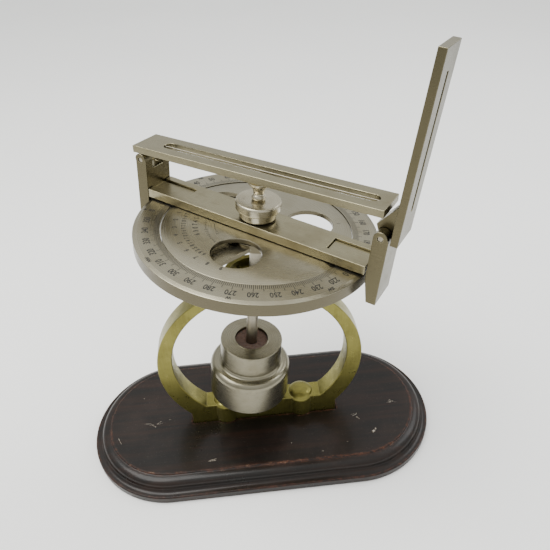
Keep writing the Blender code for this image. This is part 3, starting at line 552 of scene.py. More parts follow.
def dark_wood():
    """Nearly black stained wood under worn varnish, brown where the edges are rubbed through."""
    graph = Graph("dark_wood")
    grain = graph.noise(150.0, 6.0, 0.65, (0.06, 1.0, 1.0))
    pores = graph.noise(1100.0, 3.0, 0.6, (0.035, 1.0, 1.0))
    clouds = graph.noise(26.0, 4.0, 0.6)
    chips = graph.noise(420.0, 5.0, 0.75, (0.5, 1.0, 1.0))
    colour = graph.mix(graph.between(grain, 0.35, 0.7), (0.0070, 0.0058, 0.0050), (0.018, 0.0095, 0.0066))
    colour = graph.mix(graph.between(clouds, 0.5, 0.8, 0.0, 0.5), colour, (0.026, 0.015, 0.011))
    colour = graph.mix(graph.between(pores, 0.60, 0.78, 0.0, 0.5), colour, (0.004, 0.003, 0.003))
    edge = graph.edges(0.0024)
    wide_edge = graph.math("MULTIPLY", edge, graph.between(clouds, 0.32, 0.62, 0.25, 1.0))
    rubbed = graph.math("MULTIPLY", wide_edge, graph.between(chips, 0.40, 0.62))
    colour = graph.mix(rubbed, colour, (0.115, 0.040, 0.020))
    bare = graph.math("MULTIPLY", wide_edge, graph.between(chips, 0.60, 0.70))
    colour = graph.mix(bare, colour, (0.36, 0.25, 0.15))
    dust = graph.between(graph.noise(2100.0, 2.0, 0.5), 0.71, 0.76, 0.0, 0.35)
    colour = graph.mix(dust, colour, (0.30, 0.28, 0.25))
    rough = graph.math("ADD", graph.between(clouds, 0.3, 0.75, 0.26, 0.44),
                       graph.math("MULTIPLY", rubbed, 0.3))
    graph.set(Base_Color=colour, Roughness=rough)
    graph.shader.inputs["Specular IOR Level"].default_value = 0.20
    graph.shader.inputs["Coat Weight"].default_value = 0.12
    graph.shader.inputs["Coat Roughness"].default_value = 0.14
    relief = graph.math("SUBTRACT", graph.math("ADD", grain, graph.math("MULTIPLY", clouds, 1.5)),
                        graph.math("MULTIPLY", pores, 0.5))
    relief = graph.math("SUBTRACT", relief, graph.math("MULTIPLY", rubbed, 0.8))
    graph.bump(relief, 0.00022, 0.5)
    return graph.material


def brown_felt():
    """Matted brown felt."""
    graph = Graph("felt")
    fibres = graph.noise(1600.0, 5.0, 0.7)
    clumps = graph.noise(300.0, 4.0, 0.6)
    colour = graph.mix(graph.between(fibres, 0.35, 0.7), (0.055, 0.026, 0.017), (0.17, 0.09, 0.055))
    colour = graph.mix(graph.between(clumps, 0.5, 0.75, 0.0, 0.6), colour, (0.035, 0.018, 0.012))
    graph.set(Base_Color=colour, Roughness=0.92)
    graph.shader.inputs["Sheen Weight"].default_value = 0.3
    graph.bump(fibres, 0.0004, 0.8)
    return graph.material


def engraving_fill():
    """Dark wax in engraved marks, thinner in places."""
    graph = Graph("engraving")
    worn = graph.between(graph.noise(900.0, 3.0, 0.6), 0.55, 0.80, 0.0, 0.45)
    colour = graph.mix(worn, (0.007, 0.006, 0.004), (0.060, 0.050, 0.030))
    graph.set(Base_Color=colour, Roughness=graph.between(worn, 0.0, 1.0, 0.55, 0.4), Metallic=0.0)
    return graph.material


def scratch_fill():
    """Pale bare wood and dust in a scratch."""
    graph = Graph("scratch")
    broken = graph.between(graph.noise(1300.0, 3.0, 0.6), 0.40, 0.62)
    colour = graph.mix(broken, (0.07, 0.045, 0.03), (0.42, 0.38, 0.31))
    graph.set(Base_Color=colour, Roughness=graph.between(broken, 0.0, 1.0, 0.5, 0.8))
    return graph.material


def paper_floor():
    """Plain pale paper."""
    graph = Graph("paper")
    tone = graph.between(graph.noise(3.0, 2.0, 0.5), 0.3, 0.7)
    colour = graph.mix(tone, (0.95, 0.95, 0.935), (0.97, 0.97, 0.955))
    graph.set(Base_Color=colour, Roughness=0.8)
    graph.shader.inputs["Specular IOR Level"].default_value = 0.2
    return graph.material


# Painted shade: the dial and disc, the vanes and the brackets get darker upright sides; the brushed bar gets
# none.
TURNED_SILVER = metal("turned_silver", PALE_SILVER, "turned", 3200.0, painted_side_shade=1.0)
BRUSHED_SILVER = metal("brushed_silver", WARM_SILVER, "brushed", 2400.0)
VANE_SILVER = metal("vane_silver", WARM_SILVER, "brushed", 2400.0, painted_side_shade=0.55)
POST_SILVER = metal("post_silver", WARM_SILVER, "brushed", 2400.0, painted_side_shade=1.0)
TURNED_NICKEL = metal("turned_nickel", NICKEL, "turned", 2600.0, 0.25)
TURNED_KNOB = metal("turned_knob", KNOB_NICKEL, "turned", 2600.0, 0.25)
TURNED_STEEL = metal("turned_steel", STEEL, "turned", 3000.0)
PLAIN_STEEL = metal("plain_steel", STEEL, "plain", 1800.0)
CAST_BRASS = cast_brass()
DARK_WOOD = dark_wood()
FELT = brown_felt()
ENGRAVING = engraving_fill()
SCRATCH = scratch_fill()

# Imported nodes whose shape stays, with their finish.
KEPT_NODES = {
    "gimbal_ring": CAST_BRASS, "gimbal_hub": TURNED_STEEL, "gimbal_pin_left": PLAIN_STEEL,
    "gimbal_pin_right": PLAIN_STEEL, "pivot_screw_front": PLAIN_STEEL, "pivot_screw_rear": PLAIN_STEEL,
    "pivot_lock_nut_front": PLAIN_STEEL, "pivot_lock_nut_rear": PLAIN_STEEL,
    "hold_down_screw_left": PLAIN_STEEL, "hold_down_screw_right": PLAIN_STEEL,
    "weight_nut": PLAIN_STEEL, "left_bracket_screw_1": PLAIN_STEEL, "left_bracket_screw_2": PLAIN_STEEL,
    "right_bracket_screw_1": PLAIN_STEEL, "right_bracket_screw_2": PLAIN_STEEL,
    "centre_bush": PLAIN_STEEL, "thrust_washer": PLAIN_STEEL,
}


def finish_kept_nodes():
    """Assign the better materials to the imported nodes."""
    for name, material in KEPT_NODES.items():
        mesh = frame["nodes"][name].data
        mesh.materials.clear()
        mesh.materials.append(material)


# ---- the stand ------------------------------------------------------------------------------
def plinth_profile():
    """Half section of the moulding: flat top, convex band, hollow, square foot."""
    top = PLINTH_H
    top_r = PLINTH_END_R - PLINTH_TOP_INSET
    profile = [(0.0, top), (top_r, top), (top_r + 0.4 * MM, top - 1.0 * MM)]
    for i in range(13):
        a = math.radians(90 - 90 * i / 12)
        profile.append((top_r + 1.0 * MM + 6.6 * MM * math.cos(a), top - 5.6 * MM + 4.4 * MM * math.sin(a)))
    for i in range(1, 10):
        a = math.radians(180 + 90 * i / 9)
        profile.append((top_r + 11.4 * MM + 3.6 * MM * math.cos(a), top - 6.2 * MM + 3.4 * MM * math.sin(a)))
    profile += [(PLINTH_END_R - 0.6 * MM, top - 9.6 * MM), (PLINTH_END_R, top - 10.4 * MM),
                (PLINTH_END_R, 0.8 * MM), (PLINTH_END_R - 0.8 * MM, 0.0), (0.0, 0.0)]
    return profile


def build_plinth():
    """A turned moulding drawn apart into a stadium, with the yoke's recess."""
    plinth = lathe("plinth_fine", plinth_profile(), STAND, PLINTH_STEPS, 0.3 * MM)
    plinth.data.transform(Matrix.Rotation(math.pi / PLINTH_STEPS, 4, "Z"))
    for vertex in plinth.data.vertices:
        if abs(vertex.co.x) > 0.00001:
            vertex.co.x += math.copysign(PLINTH_HALF_STRAIGHT, vertex.co.x)
    above = PLINTH_H + 4 * MM
    floor = PLINTH_H - RECESS_DEPTH
    recess = block("recess_cutter", (-RECESS_HALF_LENGTH, -RECESS_HALF_WIDTH, floor),
                   (RECESS_HALF_LENGTH, RECESS_HALF_WIDTH, above), YOKE)
    boolean(plinth, "DIFFERENCE", recess)
    hole = [(0.0, above), (BOSS_R + 0.4 * MM, above), (BOSS_R + 0.4 * MM, floor - 0.2 * MM),
            (HOLD_DOWN_R + 0.2 * MM, floor - 0.2 * MM), (HOLD_DOWN_R + 0.2 * MM, HOLD_DOWN_HEAD_TOP),
            (HOLD_DOWN_HEAD_R, HOLD_DOWN_HEAD_TOP), (HOLD_DOWN_HEAD_R, -4 * MM), (0.0, -4 * MM)]
    for side in (-1, 1):
        spot = YOKE @ Matrix.Translation((side * BOSS_X, 0, 0))
        boolean(plinth, "DIFFERENCE", lathe("hold_down_cutter", hole, spot, 64, 0.05 * MM))
    place(smooth(plinth, 32.0), "stand", "wood", DARK_WOOD, "plinth")


def build_scratches():
    """Pale scratches and chips on the plinth's top, as shallow slivers of bare wood."""
    random.seed(7)
    shape = bmesh.new()
    starts = [(-91, -4, 175), (-86, -6, 150), (-83, -4, 10), (-74, -3, 172), (74, -15, 20), (77, -19, 130),
              (104, -7, 12), (108, -6, 8), (-112, -18, 120), (-40, -43, 3), (44, -45, 176)]
    for x, y, direction in starts:
        for strand in range(random.randint(1, 3)):
            angle = math.radians(direction + random.uniform(-9, 9))
            length = random.uniform(1.6, 6.5) * MM
            width = random.uniform(0.12, 0.34) * MM
            spot = Vector((x + random.uniform(-2, 2), y + random.uniform(-2, 2), 0)) * MM
            add_mark(shape, spot, angle, length, width, PLINTH_H)
    for x, y, width in ((85, -33, 1.7), (87, -31, 1.0), (-98, 22, 0.5), (20, -36, 0.4), (63, -40, 0.5)):
        spot = Vector((x, y, 0)) * MM
        size = width * MM
        add_mark(shape, spot, random.uniform(0, 3), size * 1.5, size, PLINTH_H)
    place(mesh_piece("plinth_scratches", shape, STAND), "stand", "wood", SCRATCH)


def build_ring_yoke():
    """Flat ring, foot bar, bosses and head in one casting."""
    foot_bottom = PLINTH_H - RECESS_DEPTH + 0.3 * MM
    outer_drop = math.sqrt(RING_R ** 2 - FOOT_HALF_LENGTH ** 2)
    start = math.degrees(math.atan2(-outer_drop, FOOT_HALF_LENGTH))
    outer = [(FOOT_HALF_LENGTH, foot_bottom)] + arc((0, RING_Z), RING_R, start, 180 - start, 161)
    outer.append((-FOOT_HALF_LENGTH, foot_bottom))
    inner_start = math.degrees(math.asin((FOOT_TOP_Z - RING_INNER_Z) / RING_INNER_R))
    inner = arc((0, RING_INNER_Z), RING_INNER_R, inner_start, 180 - inner_start, 121)
    yoke = plate("ring_yoke_fine", [outer, inner], -RING_HALF_WIDTH, RING_HALF_WIDTH, YOKE)
    bevel(yoke, 0.7 * MM, 3, 50.0)
    low = foot_bottom + 0.2 * MM
    dome = [(0.0, BOSS_TOP_Z), (BOSS_R * 0.55, BOSS_TOP_Z - 0.5 * MM), (BOSS_R * 0.88, BOSS_TOP_Z - 1.9 * MM),
            (BOSS_R, BOSS_TOP_Z - 4.0 * MM), (BOSS_R, low), (0.0, low)]
    for side in (-1, 1):
        boss_at = YOKE @ Matrix.Translation((side * BOSS_X, 0, 0))
        boolean(yoke, "UNION", lathe("boss", dome, boss_at, 64, 1.6 * MM))
    head = [(0.0, HEAD_HIGH), (HEAD_R, HEAD_HIGH), (HEAD_R, -HEAD_LOW), (0.0, -HEAD_LOW)]
    pivot = YOKE @ Matrix.Translation((0, 0, PIVOT_Z))
    boolean(yoke, "UNION", lathe("head", head, pivot, 96, 1.2 * MM))
    boolean(yoke, "DIFFERENCE",
            rod("head_bore_cutter", HEAD_BORE_R, -CUT_REACH, CUT_REACH, pivot, "Z", 96),
            rod("pivot_screw_cutter", PIVOT_SCREW_R + 0.1 * MM, -40 * MM, 40 * MM, pivot, "Y", 32))
    for side in (-1, 1):
        spot = YOKE @ Matrix.Translation((side * BOSS_X, 0, 0))
        hole_r = HOLD_DOWN_R + 0.1 * MM
        boolean(yoke, "DIFFERENCE", rod("tapped_hole_cutter", hole_r, 0.0, 30 * MM, spot, "Z", 32))
    place(smooth(yoke, 34.0), "stand", "brass", CAST_BRASS, "ring_yoke")


# ---- the pendulum ---------------------------------------------------------------------------
def build_shaft():
    """The spindle that carries everything."""
    journal_top = DISC_BOTTOM - 0.25 * MM
    profile = [(0.0, SHAFT_WELL_FLOOR), (SHAFT_WELL_R, SHAFT_WELL_FLOOR), (SHAFT_WELL_R, SHAFT_TOP),
               (SHAFT_R - 0.4 * MM, SHAFT_TOP), (SHAFT_R, SHAFT_TOP - 0.4 * MM), (SHAFT_R, journal_top),
               (JOURNAL_R, journal_top), (JOURNAL_R, COLLAR_TOP), (COLLAR_R, COLLAR_TOP),
               (COLLAR_R, COLLAR_TOP - 2.5 * MM), (SHAFT_R, COLLAR_TOP - 6.0 * MM), (SHAFT_R, SHAFT_END),
               (0.0, SHAFT_END)]
    shaft = lathe("pendulum_shaft_fine", profile, BAR, 96, 0.3 * MM)
    place(smooth(shaft), "pendulum", "steel", TURNED_STEEL, "pendulum_shaft")


def build_counterweight():
    """Stepped weight with a curved shoulder and a raised lip round its mouth."""
    bore = SHAFT_R + GAP
    lip = WEIGHT_BORE_R + 0.8 * MM
    profile = [(WEIGHT_BORE_R, WEIGHT_TOP - 0.4 * MM), (WEIGHT_BORE_R, WEIGHT_TOP + 0.3 * MM),
               (lip, WEIGHT_TOP + 0.3 * MM), (lip + 0.3 * MM, WEIGHT_TOP), (WEIGHT_UPPER_R, WEIGHT_TOP),
               (WEIGHT_UPPER_R, WEIGHT_SHOULDER + 8.6 * MM)]
    for i in range(10):
        a = math.radians(180 + 80 * i / 9)
        profile.append((WEIGHT_UPPER_R + 2.2 * MM + 2.2 * MM * math.cos(a),
                        WEIGHT_SHOULDER + 8.0 * MM + 2.6 * MM * math.sin(a)))
    for i in range(14):
        a = math.radians(88 - 88 * i / 13)
        profile.append((WEIGHT_R - 4.8 * MM + 4.8 * MM * math.cos(a),
                        WEIGHT_SHOULDER + 5.2 * MM * math.sin(a)))
    profile += [(WEIGHT_R, WEIGHT_BOTTOM), (NUT_RECESS_R, WEIGHT_BOTTOM), (NUT_RECESS_R, NUT_RECESS_TOP),
                (bore, NUT_RECESS_TOP), (bore, WEIGHT_BORE_FLOOR), (WEIGHT_BORE_R, WEIGHT_BORE_FLOOR)]
    weight = lathe("counterweight_fine", profile, BAR, 200, 0.7 * MM)
    place(smooth(weight, 30.0), "pendulum", "nickel", TURNED_NICKEL, "counterweight")


def build_felt():
    """Matted felt packed round the shaft in the weight's mouth."""
    bore = SHAFT_R + GAP
    felt_r = WEIGHT_BORE_R - 0.3 * MM
    top = WEIGHT_TOP - 1.6 * MM
    bottom = WEIGHT_BORE_FLOOR + 0.3 * MM
    profile = [(bore + (felt_r - bore) * i / 10, top - 1.2 * MM * (1 - i / 10)) for i in range(11)]
    profile += [(felt_r, bottom), (bore, bottom)]
    felt = lathe("felt_fine", profile, BAR, 96, 0.2 * MM)
    for vertex in felt.data.vertices:
        if vertex.co.z > top - 2.5 * MM:
            tuft = noise.noise(vertex.co * 900.0) + 0.6 * noise.noise(vertex.co * 2600.0)
            vertex.co.z += tuft * 0.45 * MM
    place(smooth(felt, 60.0), "pendulum", "felt", FELT, "weight_felt")


def build_inner_disc():
    """Fixed centre plate with a bevelled edge and three round windows."""
    bore = SHAFT_R + GAP
    profile = [(bore, DISC_TOP), (DISC_FLAT_R, DISC_TOP), (DISC_R, DISC_EDGE_TOP), (DISC_R, DISC_BOTTOM),
               (bore, DISC_BOTTOM)]
    disc = lathe("inner_disc_fine", profile, BAR, 216, 0.25 * MM)
    for angle in WINDOW_ANGLES:
        a = math.radians(angle)
        spot = BAR @ Matrix.Translation((WINDOW_PITCH_R * math.cos(a), WINDOW_PITCH_R * math.sin(a), 0))
        rim = [(0.0, 4 * MM), (WINDOW_R + 0.3 * MM, 4 * MM), (WINDOW_R + 0.3 * MM, DISC_TOP + 0.1 * MM),
               (WINDOW_R, DISC_TOP - 0.3 * MM), (WINDOW_R, -6 * MM), (0.0, -6 * MM)]
        boolean(disc, "DIFFERENCE", lathe("window_cutter", rim, spot, 96, 0.02 * MM))
    place(smooth(disc, 24.0), "pendulum", "silver", TURNED_SILVER, "inner_disc")


# ---- the dial ---------------------------------------------------------------------------------
def build_dial():
    """Graduated wheel: flat rim with a shallow outer bevel, three spokes and a hub."""
    profile = [(RIM_FLAT_R, 0.0), (RIM_R, -RIM_BEVEL_DROP), (RIM_R, -RIM_THICK), (RIM_INNER_R, -RIM_THICK),
               (RIM_INNER_R, 0.0)]
    dial = lathe("graduated_dial_fine", profile, BAR, 240, 0.3 * MM)
    for angle in SPOKE_ANGLES:
        arm = BAR @ Matrix.Rotation(math.radians(angle), 4, "Z")
        spoke = block("spoke", (2 * MM, -SPOKE_HALF_WIDTH, SPOKE_BOTTOM),
                      (RIM_INNER_R + 2 * MM, SPOKE_HALF_WIDTH, SPOKE_TOP), arm)
        boolean(dial, "UNION", bevel(spoke, 0.5 * MM))
    boolean(dial, "UNION", rod("hub", HUB_R, HUB_BOTTOM, HUB_TOP, BAR, "Z", 96, 0.4 * MM))
    boolean(dial, "DIFFERENCE", rod("bore_cutter", JOURNAL_R + GAP, -CUT_REACH, CUT_REACH, BAR, "Z", 96))
    place(smooth(dial, 20.0), "dial", "silver", TURNED_SILVER, "graduated_dial")


def add_mark(shape, spot, angle, length, width, height):
    """Add one thin raised sliver to a mesh, its length along an angle."""
    turn = Matrix.Translation((spot[0], spot[1], height)) @ Matrix.Rotation(angle, 4, "Z")
    size = Matrix.Diagonal((length, width, 2 * MARK_LIFT, 1.0))
    bmesh.ops.create_cube(shape, size=1.0, matrix=turn @ size)


def add_text(shape, text, radius, angle, size, narrow, height):
    """Add characters to a mesh, their tops pointing outwards."""
    curve = bpy.data.curves.new("characters", "FONT")
    curve.body = text
    curve.size = size
    curve.align_x = "CENTER"
    curve.align_y = "CENTER"
    curve.resolution_u = 4
    curve.extrude = MARK_LIFT
    curve.offset = STROKE_GAIN
    letters = new_piece("characters", curve, Matrix.Identity(4))
    bpy.context.view_layer.update()
    graph = bpy.context.evaluated_depsgraph_get()
    mesh = bpy.data.meshes.new_from_object(letters.evaluated_get(graph))
    bpy.data.objects.remove(letters, do_unlink=True)
    a = math.radians(angle)
    spot = Matrix.Translation((radius * math.cos(a), radius * math.sin(a), height))
    turn = Matrix.Rotation(a - math.pi / 2, 4, "Z")
    mesh.transform(spot @ turn @ Matrix.Diagonal((narrow, 1.0, 1.0, 1.0)))
    shape.from_mesh(mesh)


def mesh_piece(name, shape, matrix):
    """Object from a finished edit mesh."""
    mesh = bpy.data.meshes.new(name)
    shape.to_mesh(mesh)
    shape.free()
    return new_piece(name, mesh, matrix)


def build_graduations():
    """Degree ticks, a numeral every ten degrees and the eight compass points."""
    shape = bmesh.new()
    for degree in range(360):
        kind = 2 if degree % 10 == 0 else 1 if degree % 5 == 0 else 0
        a = math.radians(SCALE_ZERO - degree)
        outer = TICK_OUTER_RS[kind]
        middle = (TICK_INNER_R + outer) / 2
        spot = (middle * math.cos(a), middle * math.sin(a))
        add_mark(shape, spot, a, outer - TICK_INNER_R, TICK_WIDTH, 0.0)
    for degree in range(0, 360, 10):
        add_text(shape, str(degree), NUMERAL_R, SCALE_ZERO - degree, NUMERAL_SIZE, NUMERAL_NARROW, 0.0)
    for index, point in enumerate(("N", "NE", "E", "SE", "S", "SW", "W", "NW")):
        add_text(shape, point, LETTER_R, SCALE_ZERO - 45 * index, LETTER_SIZE, 0.9, 0.0)
    place(mesh_piece("dial_graduations", shape, BAR), "dial", "silver", ENGRAVING)


def build_disc_marks():
    """Generic numbers and marks on the inner disc, and its short index line."""
    random.seed(11)
    shape = bmesh.new()
    for step in range(9):
        add_text(shape, str(step + 1), 50.6 * MM, -162 + 10 * step, 4.2 * MM, 0.8, DISC_TOP)
    for step in range(19):
        add_text(shape, str((step * 7) % 10), 45.3 * MM, -165 + 64 * step / 18, 3.9 * MM, 0.72, DISC_TOP)
    for step in range(6):
        add_text(shape, str((step * 3 + 1) % 10), 38.2 * MM, -157 + 28 * step / 5, 4.6 * MM, 0.8, DISC_TOP)
    for radius, first, last, count in ((32.0, -161, -110, 15), (26.3, -154, -124, 8)):
        for step in range(count):
            a = math.radians(first + (last - first) * step / (count - 1))
            spot = (radius * MM * math.cos(a), radius * MM * math.sin(a))
            length = random.uniform(1.4, 2.3) * MM
            add_mark(shape, spot, a + random.choice((0.0, math.pi / 2)), length, 0.38 * MM, DISC_TOP)
    a = math.radians(37.7)
    add_mark(shape, (52.0 * MM * math.cos(a), 52.0 * MM * math.sin(a)), a, 2.6 * MM, 0.3 * MM, DISC_TOP)
    place(mesh_piece("disc_marks", shape, BAR), "pendulum", "silver", ENGRAVING)


# ---- sight bar and brackets ---------------------------------------------------------------------
def build_sight_bar():
    """Straight bar across the dial, pocketed at both ends for the brackets' feet."""
    half = BAR_HALF_WIDTH
    bar = block("sight_bar_fine", (-BAR_HALF_LENGTH, -half, BAR_BOTTOM),
                (BAR_HALF_LENGTH, half, BAR_TOP), BAR)
    for side in (-1, 1):
        xs = sorted((side * POCKET_START, side * (BAR_HALF_LENGTH + 4 * MM)))
        pocket = block("pocket_cutter", (xs[0], -POCKET_HALF_WIDTH, POCKET_FLOOR),
                       (xs[1], POCKET_HALF_WIDTH, 20 * MM), BAR)
        boolean(bar, "DIFFERENCE", pocket)
    bevel(bar, 0.3 * MM)
    boolean(bar, "DIFFERENCE", rod("bar_bore", JOURNAL_R + GAP, -CUT_REACH, CUT_REACH, BAR, "Z", 96))
    sink = [(0.0, 6.0 * MM), (1.7 * MM, 6.0 * MM), (1.7 * MM, 1.5 * MM), (3.2 * MM, 0.0),
            (3.2 * MM, -3.0 * MM), (0.0, -3.0 * MM)]
    for x in [side * x for side in (-1, 1) for x in BRACKET_SCREW_XS]:
        spot = BAR @ Matrix.Translation((x, 0, BAR_BOTTOM))
        boolean(bar, "DIFFERENCE", lathe("countersink_cutter", sink, spot, 32, 0.05 * MM))
    place(smooth(bar, 30.0), "bar", "silver", BRUSHED_SILVER, "sight_bar")


def build_bracket(name, side, hinge_z, post_xs, skirt):
    """End bracket: an upright with a forked top and a foot that lies in the bar's pocket."""
    inner_x, outer_x = post_xs
    outline = [(side * outer_x, -skirt), (side * outer_x, hinge_z - 1.0 * MM)]
    outline += [(side * x, z) for x, z in arc((HINGE_X, hinge_z), HINGE_EAR_R, 12, 168, 25)]
    outline += [(side * inner_x, hinge_z - 1.0 * MM), (side * inner_x, -1.0 * MM),
                (side * (outer_x - BRACKET_TIP_THICK), -skirt)]
    half = BAR_HALF_WIDTH
    post = plate(name + "_fine", [outline], -half, half, BAR)
    slot_low = hinge_z - HINGE_SLOT_DEPTH
    xs = sorted((side * (inner_x - 4 * MM), side * (outer_x + 4 * MM)))
    boolean(post, "DIFFERENCE", block("fork_cutter", (xs[0], -HINGE_SLOT_HALF, slot_low),
                                      (xs[1], HINGE_SLOT_HALF, hinge_z + 10 * MM), BAR))
    bevel(post, 0.35 * MM, 3, 40.0)
    foot_half = POCKET_HALF_WIDTH - 0.3 * MM
    foot_xs = sorted((side * (POCKET_START + 0.4 * MM), side * (inner_x + 1.5 * MM)))
    foot = block("foot", (foot_xs[0], -foot_half, POCKET_FLOOR + 0.3 * MM),
                 (foot_xs[1], foot_half, BRACKET_FOOT_TOP), BAR)
    boolean(post, "UNION", bevel(foot, 0.25 * MM))
    hinge = BAR @ Matrix.Translation((side * HINGE_X, 0, hinge_z))
    hole_r = HINGE_PIN_R + 0.1 * MM
    boolean(post, "DIFFERENCE", rod("pin_hole_cutter", hole_r, -CUT_REACH, CUT_REACH, hinge, "Y", 48))
    for x in BRACKET_SCREW_XS:
        spot = BAR @ Matrix.Translation((side * x, 0, 0))
        boolean(post, "DIFFERENCE", rod("screw_hole_cutter", 1.6 * MM, 0.0, 5.2 * MM, spot, "Z", 32))
    place(smooth(post, 30.0), "bar", "silver", POST_SILVER, name)
    pin_half = half - 0.4 * MM
    pin_name = name.replace("bracket", "hinge_pin")
    pin = rod(pin_name + "_fine", HINGE_PIN_R, -pin_half, pin_half, hinge, "Y", 48, 0.3 * MM)
    place(smooth(pin), "bar", "steel", PLAIN_STEEL, pin_name)


# ---- vanes --------------------------------------------------------------------------------------
def build_object_vane():
    """Long slotted vane, lying folded over the bar, with its sighting wire."""
    half = BAR_HALF_WIDTH
    start, end = OBJECT_VANE_SLOT
    vane = block("object_vane_fine", (-OBJECT_VANE_HEEL, -half, OBJECT_VANE_FACE),
                 (OBJECT_VANE_LENGTH, half, OBJECT_VANE_TOP), OBJECT_HINGE)
    slot_half = OBJECT_VANE_SLOT_HALF
    slot = block("slot_cutter", (start + slot_half, -slot_half, 0.0), (end - slot_half, slot_half, 20 * MM),
                 OBJECT_HINGE)
    for x in (start + slot_half, end - slot_half):
        spot = OBJECT_HINGE @ Matrix.Translation((x, 0, 0))
        boolean(slot, "UNION", rod("slot_end", slot_half, 0.0, 20 * MM, spot, "Z", 64))
    boolean(vane, "DIFFERENCE", slot)
    bevel(vane, 0.35 * MM)
    tongue_half = HINGE_SLOT_HALF - 0.4 * MM
    knuckle = arc((0, 0), HINGE_EAR_R - 0.3 * MM, 160, 375, 31)
    knuckle += [(9.5 * MM, OBJECT_VANE_FACE + 0.5 * MM), (-4.6 * MM, OBJECT_VANE_FACE + 0.5 * MM)]
    boolean(vane, "UNION", plate("tongue", [knuckle], -tongue_half, tongue_half, OBJECT_HINGE))
    boolean(vane, "DIFFERENCE",
            rod("pin_hole_cutter", HINGE_PIN_R + GAP, -CUT_REACH, CUT_REACH, OBJECT_HINGE, "Y", 48))
    wire_at = OBJECT_HINGE @ Matrix.Translation((0, 0, OBJECT_VANE_TOP - 1.0 * MM))
    boolean(vane, "DIFFERENCE", rod("wire_hole_cutter", WIRE_R + 0.25 * MM, start - WIRE_HOLE_REACH,
                                    end + WIRE_HOLE_REACH, wire_at, "X", 24))
    place(smooth(vane, 30.0), "object_vane", "silver", VANE_SILVER, "object_vane")
    reach = WIRE_HOLE_REACH - 0.3 * MM
    wire = rod("sight_wire_fine", WIRE_R, start - reach, end + reach, wire_at, "X", 20, 0.05 * MM)
    place(smooth(wire), "object_vane", "wire", PLAIN_STEEL, "sight_wire")


def build_eye_vane():
    """Short upright vane with a narrow slit and a sloping root."""
    half = BAR_HALF_WIDTH
    start, end = EYE_VANE_SLOT
    vane = block("eye_vane_fine", (EYE_VANE_FACE, -half, -EYE_VANE_HEEL),
                 (EYE_VANE_FACE + EYE_VANE_THICK, half, EYE_VANE_LENGTH), EYE_HINGE)
    boolean(vane, "DIFFERENCE", block("slit_cutter", (0.0, -EYE_VANE_SLOT_HALF, start),
                                      (20 * MM, EYE_VANE_SLOT_HALF, end), EYE_HINGE))
    bevel(vane, 0.35 * MM)
    tongue_half = HINGE_SLOT_HALF - 0.4 * MM
    inside = EYE_VANE_FACE + 0.5 * MM
    root = arc((0, 0), HINGE_EAR_R - 0.3 * MM, 180, 340, 25)
    root += [(inside, -1.2 * MM), (inside, 17.6 * MM), (4.2 * MM, 17.6 * MM), (-5.6 * MM, 4.4 * MM)]
    tongue = plate("root", [root], -tongue_half, tongue_half, EYE_HINGE)
    boolean(vane, "UNION", bevel(tongue, 0.3 * MM, 2, 40.0))
    boolean(vane, "DIFFERENCE",
            rod("pin_hole_cutter", HINGE_PIN_R + GAP, -CUT_REACH, CUT_REACH, EYE_HINGE, "Y", 48))
    place(smooth(vane, 30.0), "eye_vane", "silver", POST_SILVER, "eye_vane")


# ---- clamp --------------------------------------------------------------------------------------
def build_clamp_nut():
    """Flanged nut with a thin undercut beneath its flange."""
    bore = SHAFT_R + GAP
    hole_r = LOCK_STEM_R + 0.3 * MM
    chamber_top = SHAFT_TOP + 0.3 * MM
    undercut_r = NUT_BODY_R - 0.5 * MM
    profile = [(hole_r, NUT_TOP - 0.3 * MM), (8.0 * MM, NUT_TOP), (NUT_FLANGE_R - 0.6 * MM, NUT_TOP),
               (NUT_FLANGE_R, NUT_TOP - 0.9 * MM), (NUT_FLANGE_R, NUT_FLANGE_BOTTOM + 0.7 * MM),
               (NUT_FLANGE_R - 0.6 * MM, NUT_FLANGE_BOTTOM), (undercut_r, NUT_FLANGE_BOTTOM),
               (undercut_r, NUT_FLANGE_BOTTOM - 0.6 * MM), (NUT_BODY_R, NUT_FLANGE_BOTTOM - 0.9 * MM),
               (NUT_BODY_R, NUT_BOTTOM), (bore, NUT_BOTTOM), (bore, chamber_top), (hole_r, chamber_top)]
    nut = lathe("clamp_nut_fine", profile, BAR, 144, 0.4 * MM)
    place(smooth(nut, 32.0), "clamp_nut", "knob", TURNED_KNOB, "clamp_nut")


def build_lock_screw():
    """Lock screw with a ball neck and a flared head."""
    top = LOCK_SCREW_TOP
    profile = [(0.0, top - 0.5 * MM), (4.6 * MM, top - 0.3 * MM), (6.0 * MM, top),
               (7.0 * MM, top - 0.8 * MM), (LOCK_HEAD_R, top - 2.2 * MM)]
    for i in range(1, 9):
        t = i / 8
        flare = 3.5 * MM * math.sin(t * math.pi / 2) ** 0.9
        profile.append((LOCK_HEAD_R - flare, top - (2.2 + 6.2 * t) * MM))
    for i in range(17):
        a = math.radians(38 - 80 * i / 16)
        profile.append((LOCK_BALL_R * math.cos(a), LOCK_BALL_Z + LOCK_BALL_HALF_H * math.sin(a)))
    profile += [(LOCK_STEM_R, NUT_TOP - 0.1 * MM), (LOCK_STEM_R, LOCK_SCREW_BOTTOM + 0.5 * MM),
                (LOCK_STEM_R - 0.5 * MM, LOCK_SCREW_BOTTOM), (0.0, LOCK_SCREW_BOTTOM)]
    screw = lathe("lock_screw_fine", profile, BAR, 96, 0.25 * MM)
    place(smooth(screw, 40.0), "lock_screw", "knob", TURNED_KNOB, "lock_screw")


# ---- stage ----------------------------------------------------------------------------------
def area_light(name, location, target, size, power, colour):
    """Square softbox that faces a point."""
    light = bpy.data.lights.new(name, "AREA")
    light.size = size
    light.energy = power
    light.color = colour
    lamp = bpy.data.objects.new(name, light)
    bpy.context.scene.collection.objects.link(lamp)
    lamp.location = location
    lamp.rotation_euler = (Vector(target) - Vector(location)).to_track_quat("-Z", "Y").to_euler()
    return lamp


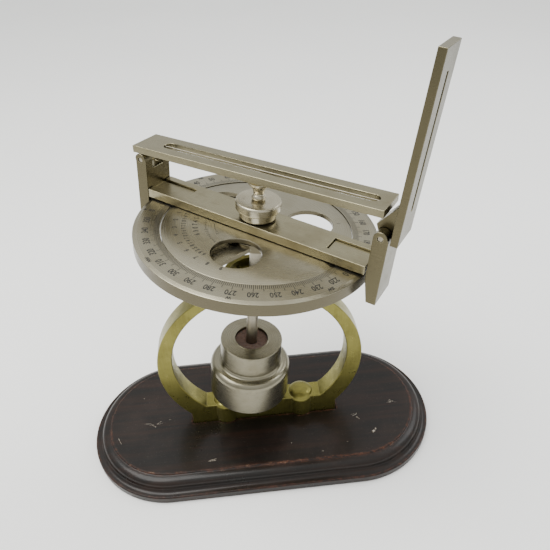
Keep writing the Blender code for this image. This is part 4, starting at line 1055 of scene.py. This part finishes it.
def build_floor():
    """Pale paper under the object."""
    shape = bmesh.new()
    bmesh.ops.create_grid(shape, x_segments=2, y_segments=2, size=FLOOR_HALF)
    mesh = bpy.data.meshes.new("floor")
    shape.to_mesh(mesh)
    shape.free()
    floor = new_piece("floor", mesh, Matrix.Translation((0, 0, -FLOOR_DROP)))
    mesh.materials.append(paper_floor())


def build_studio_light():
    """Light from all round that grows stronger towards the top, and two softboxes."""
    area_light("key_softbox", KEY_AT, LIGHTS_FACE, KEY_SIZE, KEY_POWER, KEY_COLOUR)
    area_light("fill_softbox", FILL_AT, LIGHTS_FACE, FILL_SIZE, FILL_POWER, FILL_COLOUR)
    world = bpy.data.worlds.new("studio")
    bpy.context.scene.world = world
    world.use_nodes = True
    tree = world.node_tree
    background = tree.nodes["Background"]
    background.inputs["Color"].default_value = STUDIO_COLOUR
    direction = tree.nodes.new("ShaderNodeTexCoord")
    parts = tree.nodes.new("ShaderNodeSeparateXYZ")
    height = tree.nodes.new("ShaderNodeMapRange")
    tree.links.new(direction.outputs["Generated"], parts.inputs[0])
    tree.links.new(parts.outputs[2], height.inputs[0])
    tree.links.new(height.outputs[0], background.inputs["Strength"])
    for index, value in enumerate((0.0, ZENITH_FROM, HORIZON_LIGHT, ZENITH_LIGHT), 1):
        height.inputs[index].default_value = value


def build_camera():
    """The camera that looks down on the dial from the front."""
    camera_data = bpy.data.cameras.new("camera")
    camera_data.lens = FOCAL_LENGTH
    camera_data.sensor_width = SENSOR_WIDTH
    camera_data.clip_start = 0.01
    camera = bpy.data.objects.new("camera", camera_data)
    bpy.context.scene.collection.objects.link(camera)
    facing = (CAMERA_LOOKS_AT - CAMERA_AT).to_track_quat("-Z", "Y").to_matrix().to_4x4()
    camera.matrix_world = Matrix.Translation(CAMERA_AT) @ facing @ Matrix.Rotation(CAMERA_ROLL, 4, "Z")
    bpy.context.scene.camera = camera


finish_kept_nodes()
build_plinth()
build_scratches()
build_ring_yoke()
build_shaft()
build_counterweight()
build_felt()
build_inner_disc()
build_dial()
build_graduations()
build_disc_marks()
build_sight_bar()
build_bracket("left_bracket", -1, LEFT_HINGE_Z, LEFT_BRACKET_XS, LEFT_SKIRT)
build_bracket("right_bracket", 1, RIGHT_HINGE_Z, RIGHT_BRACKET_XS, RIGHT_SKIRT)
build_object_vane()
build_eye_vane()
build_clamp_nut()
build_lock_screw()
build_floor()
build_studio_light()
build_camera()
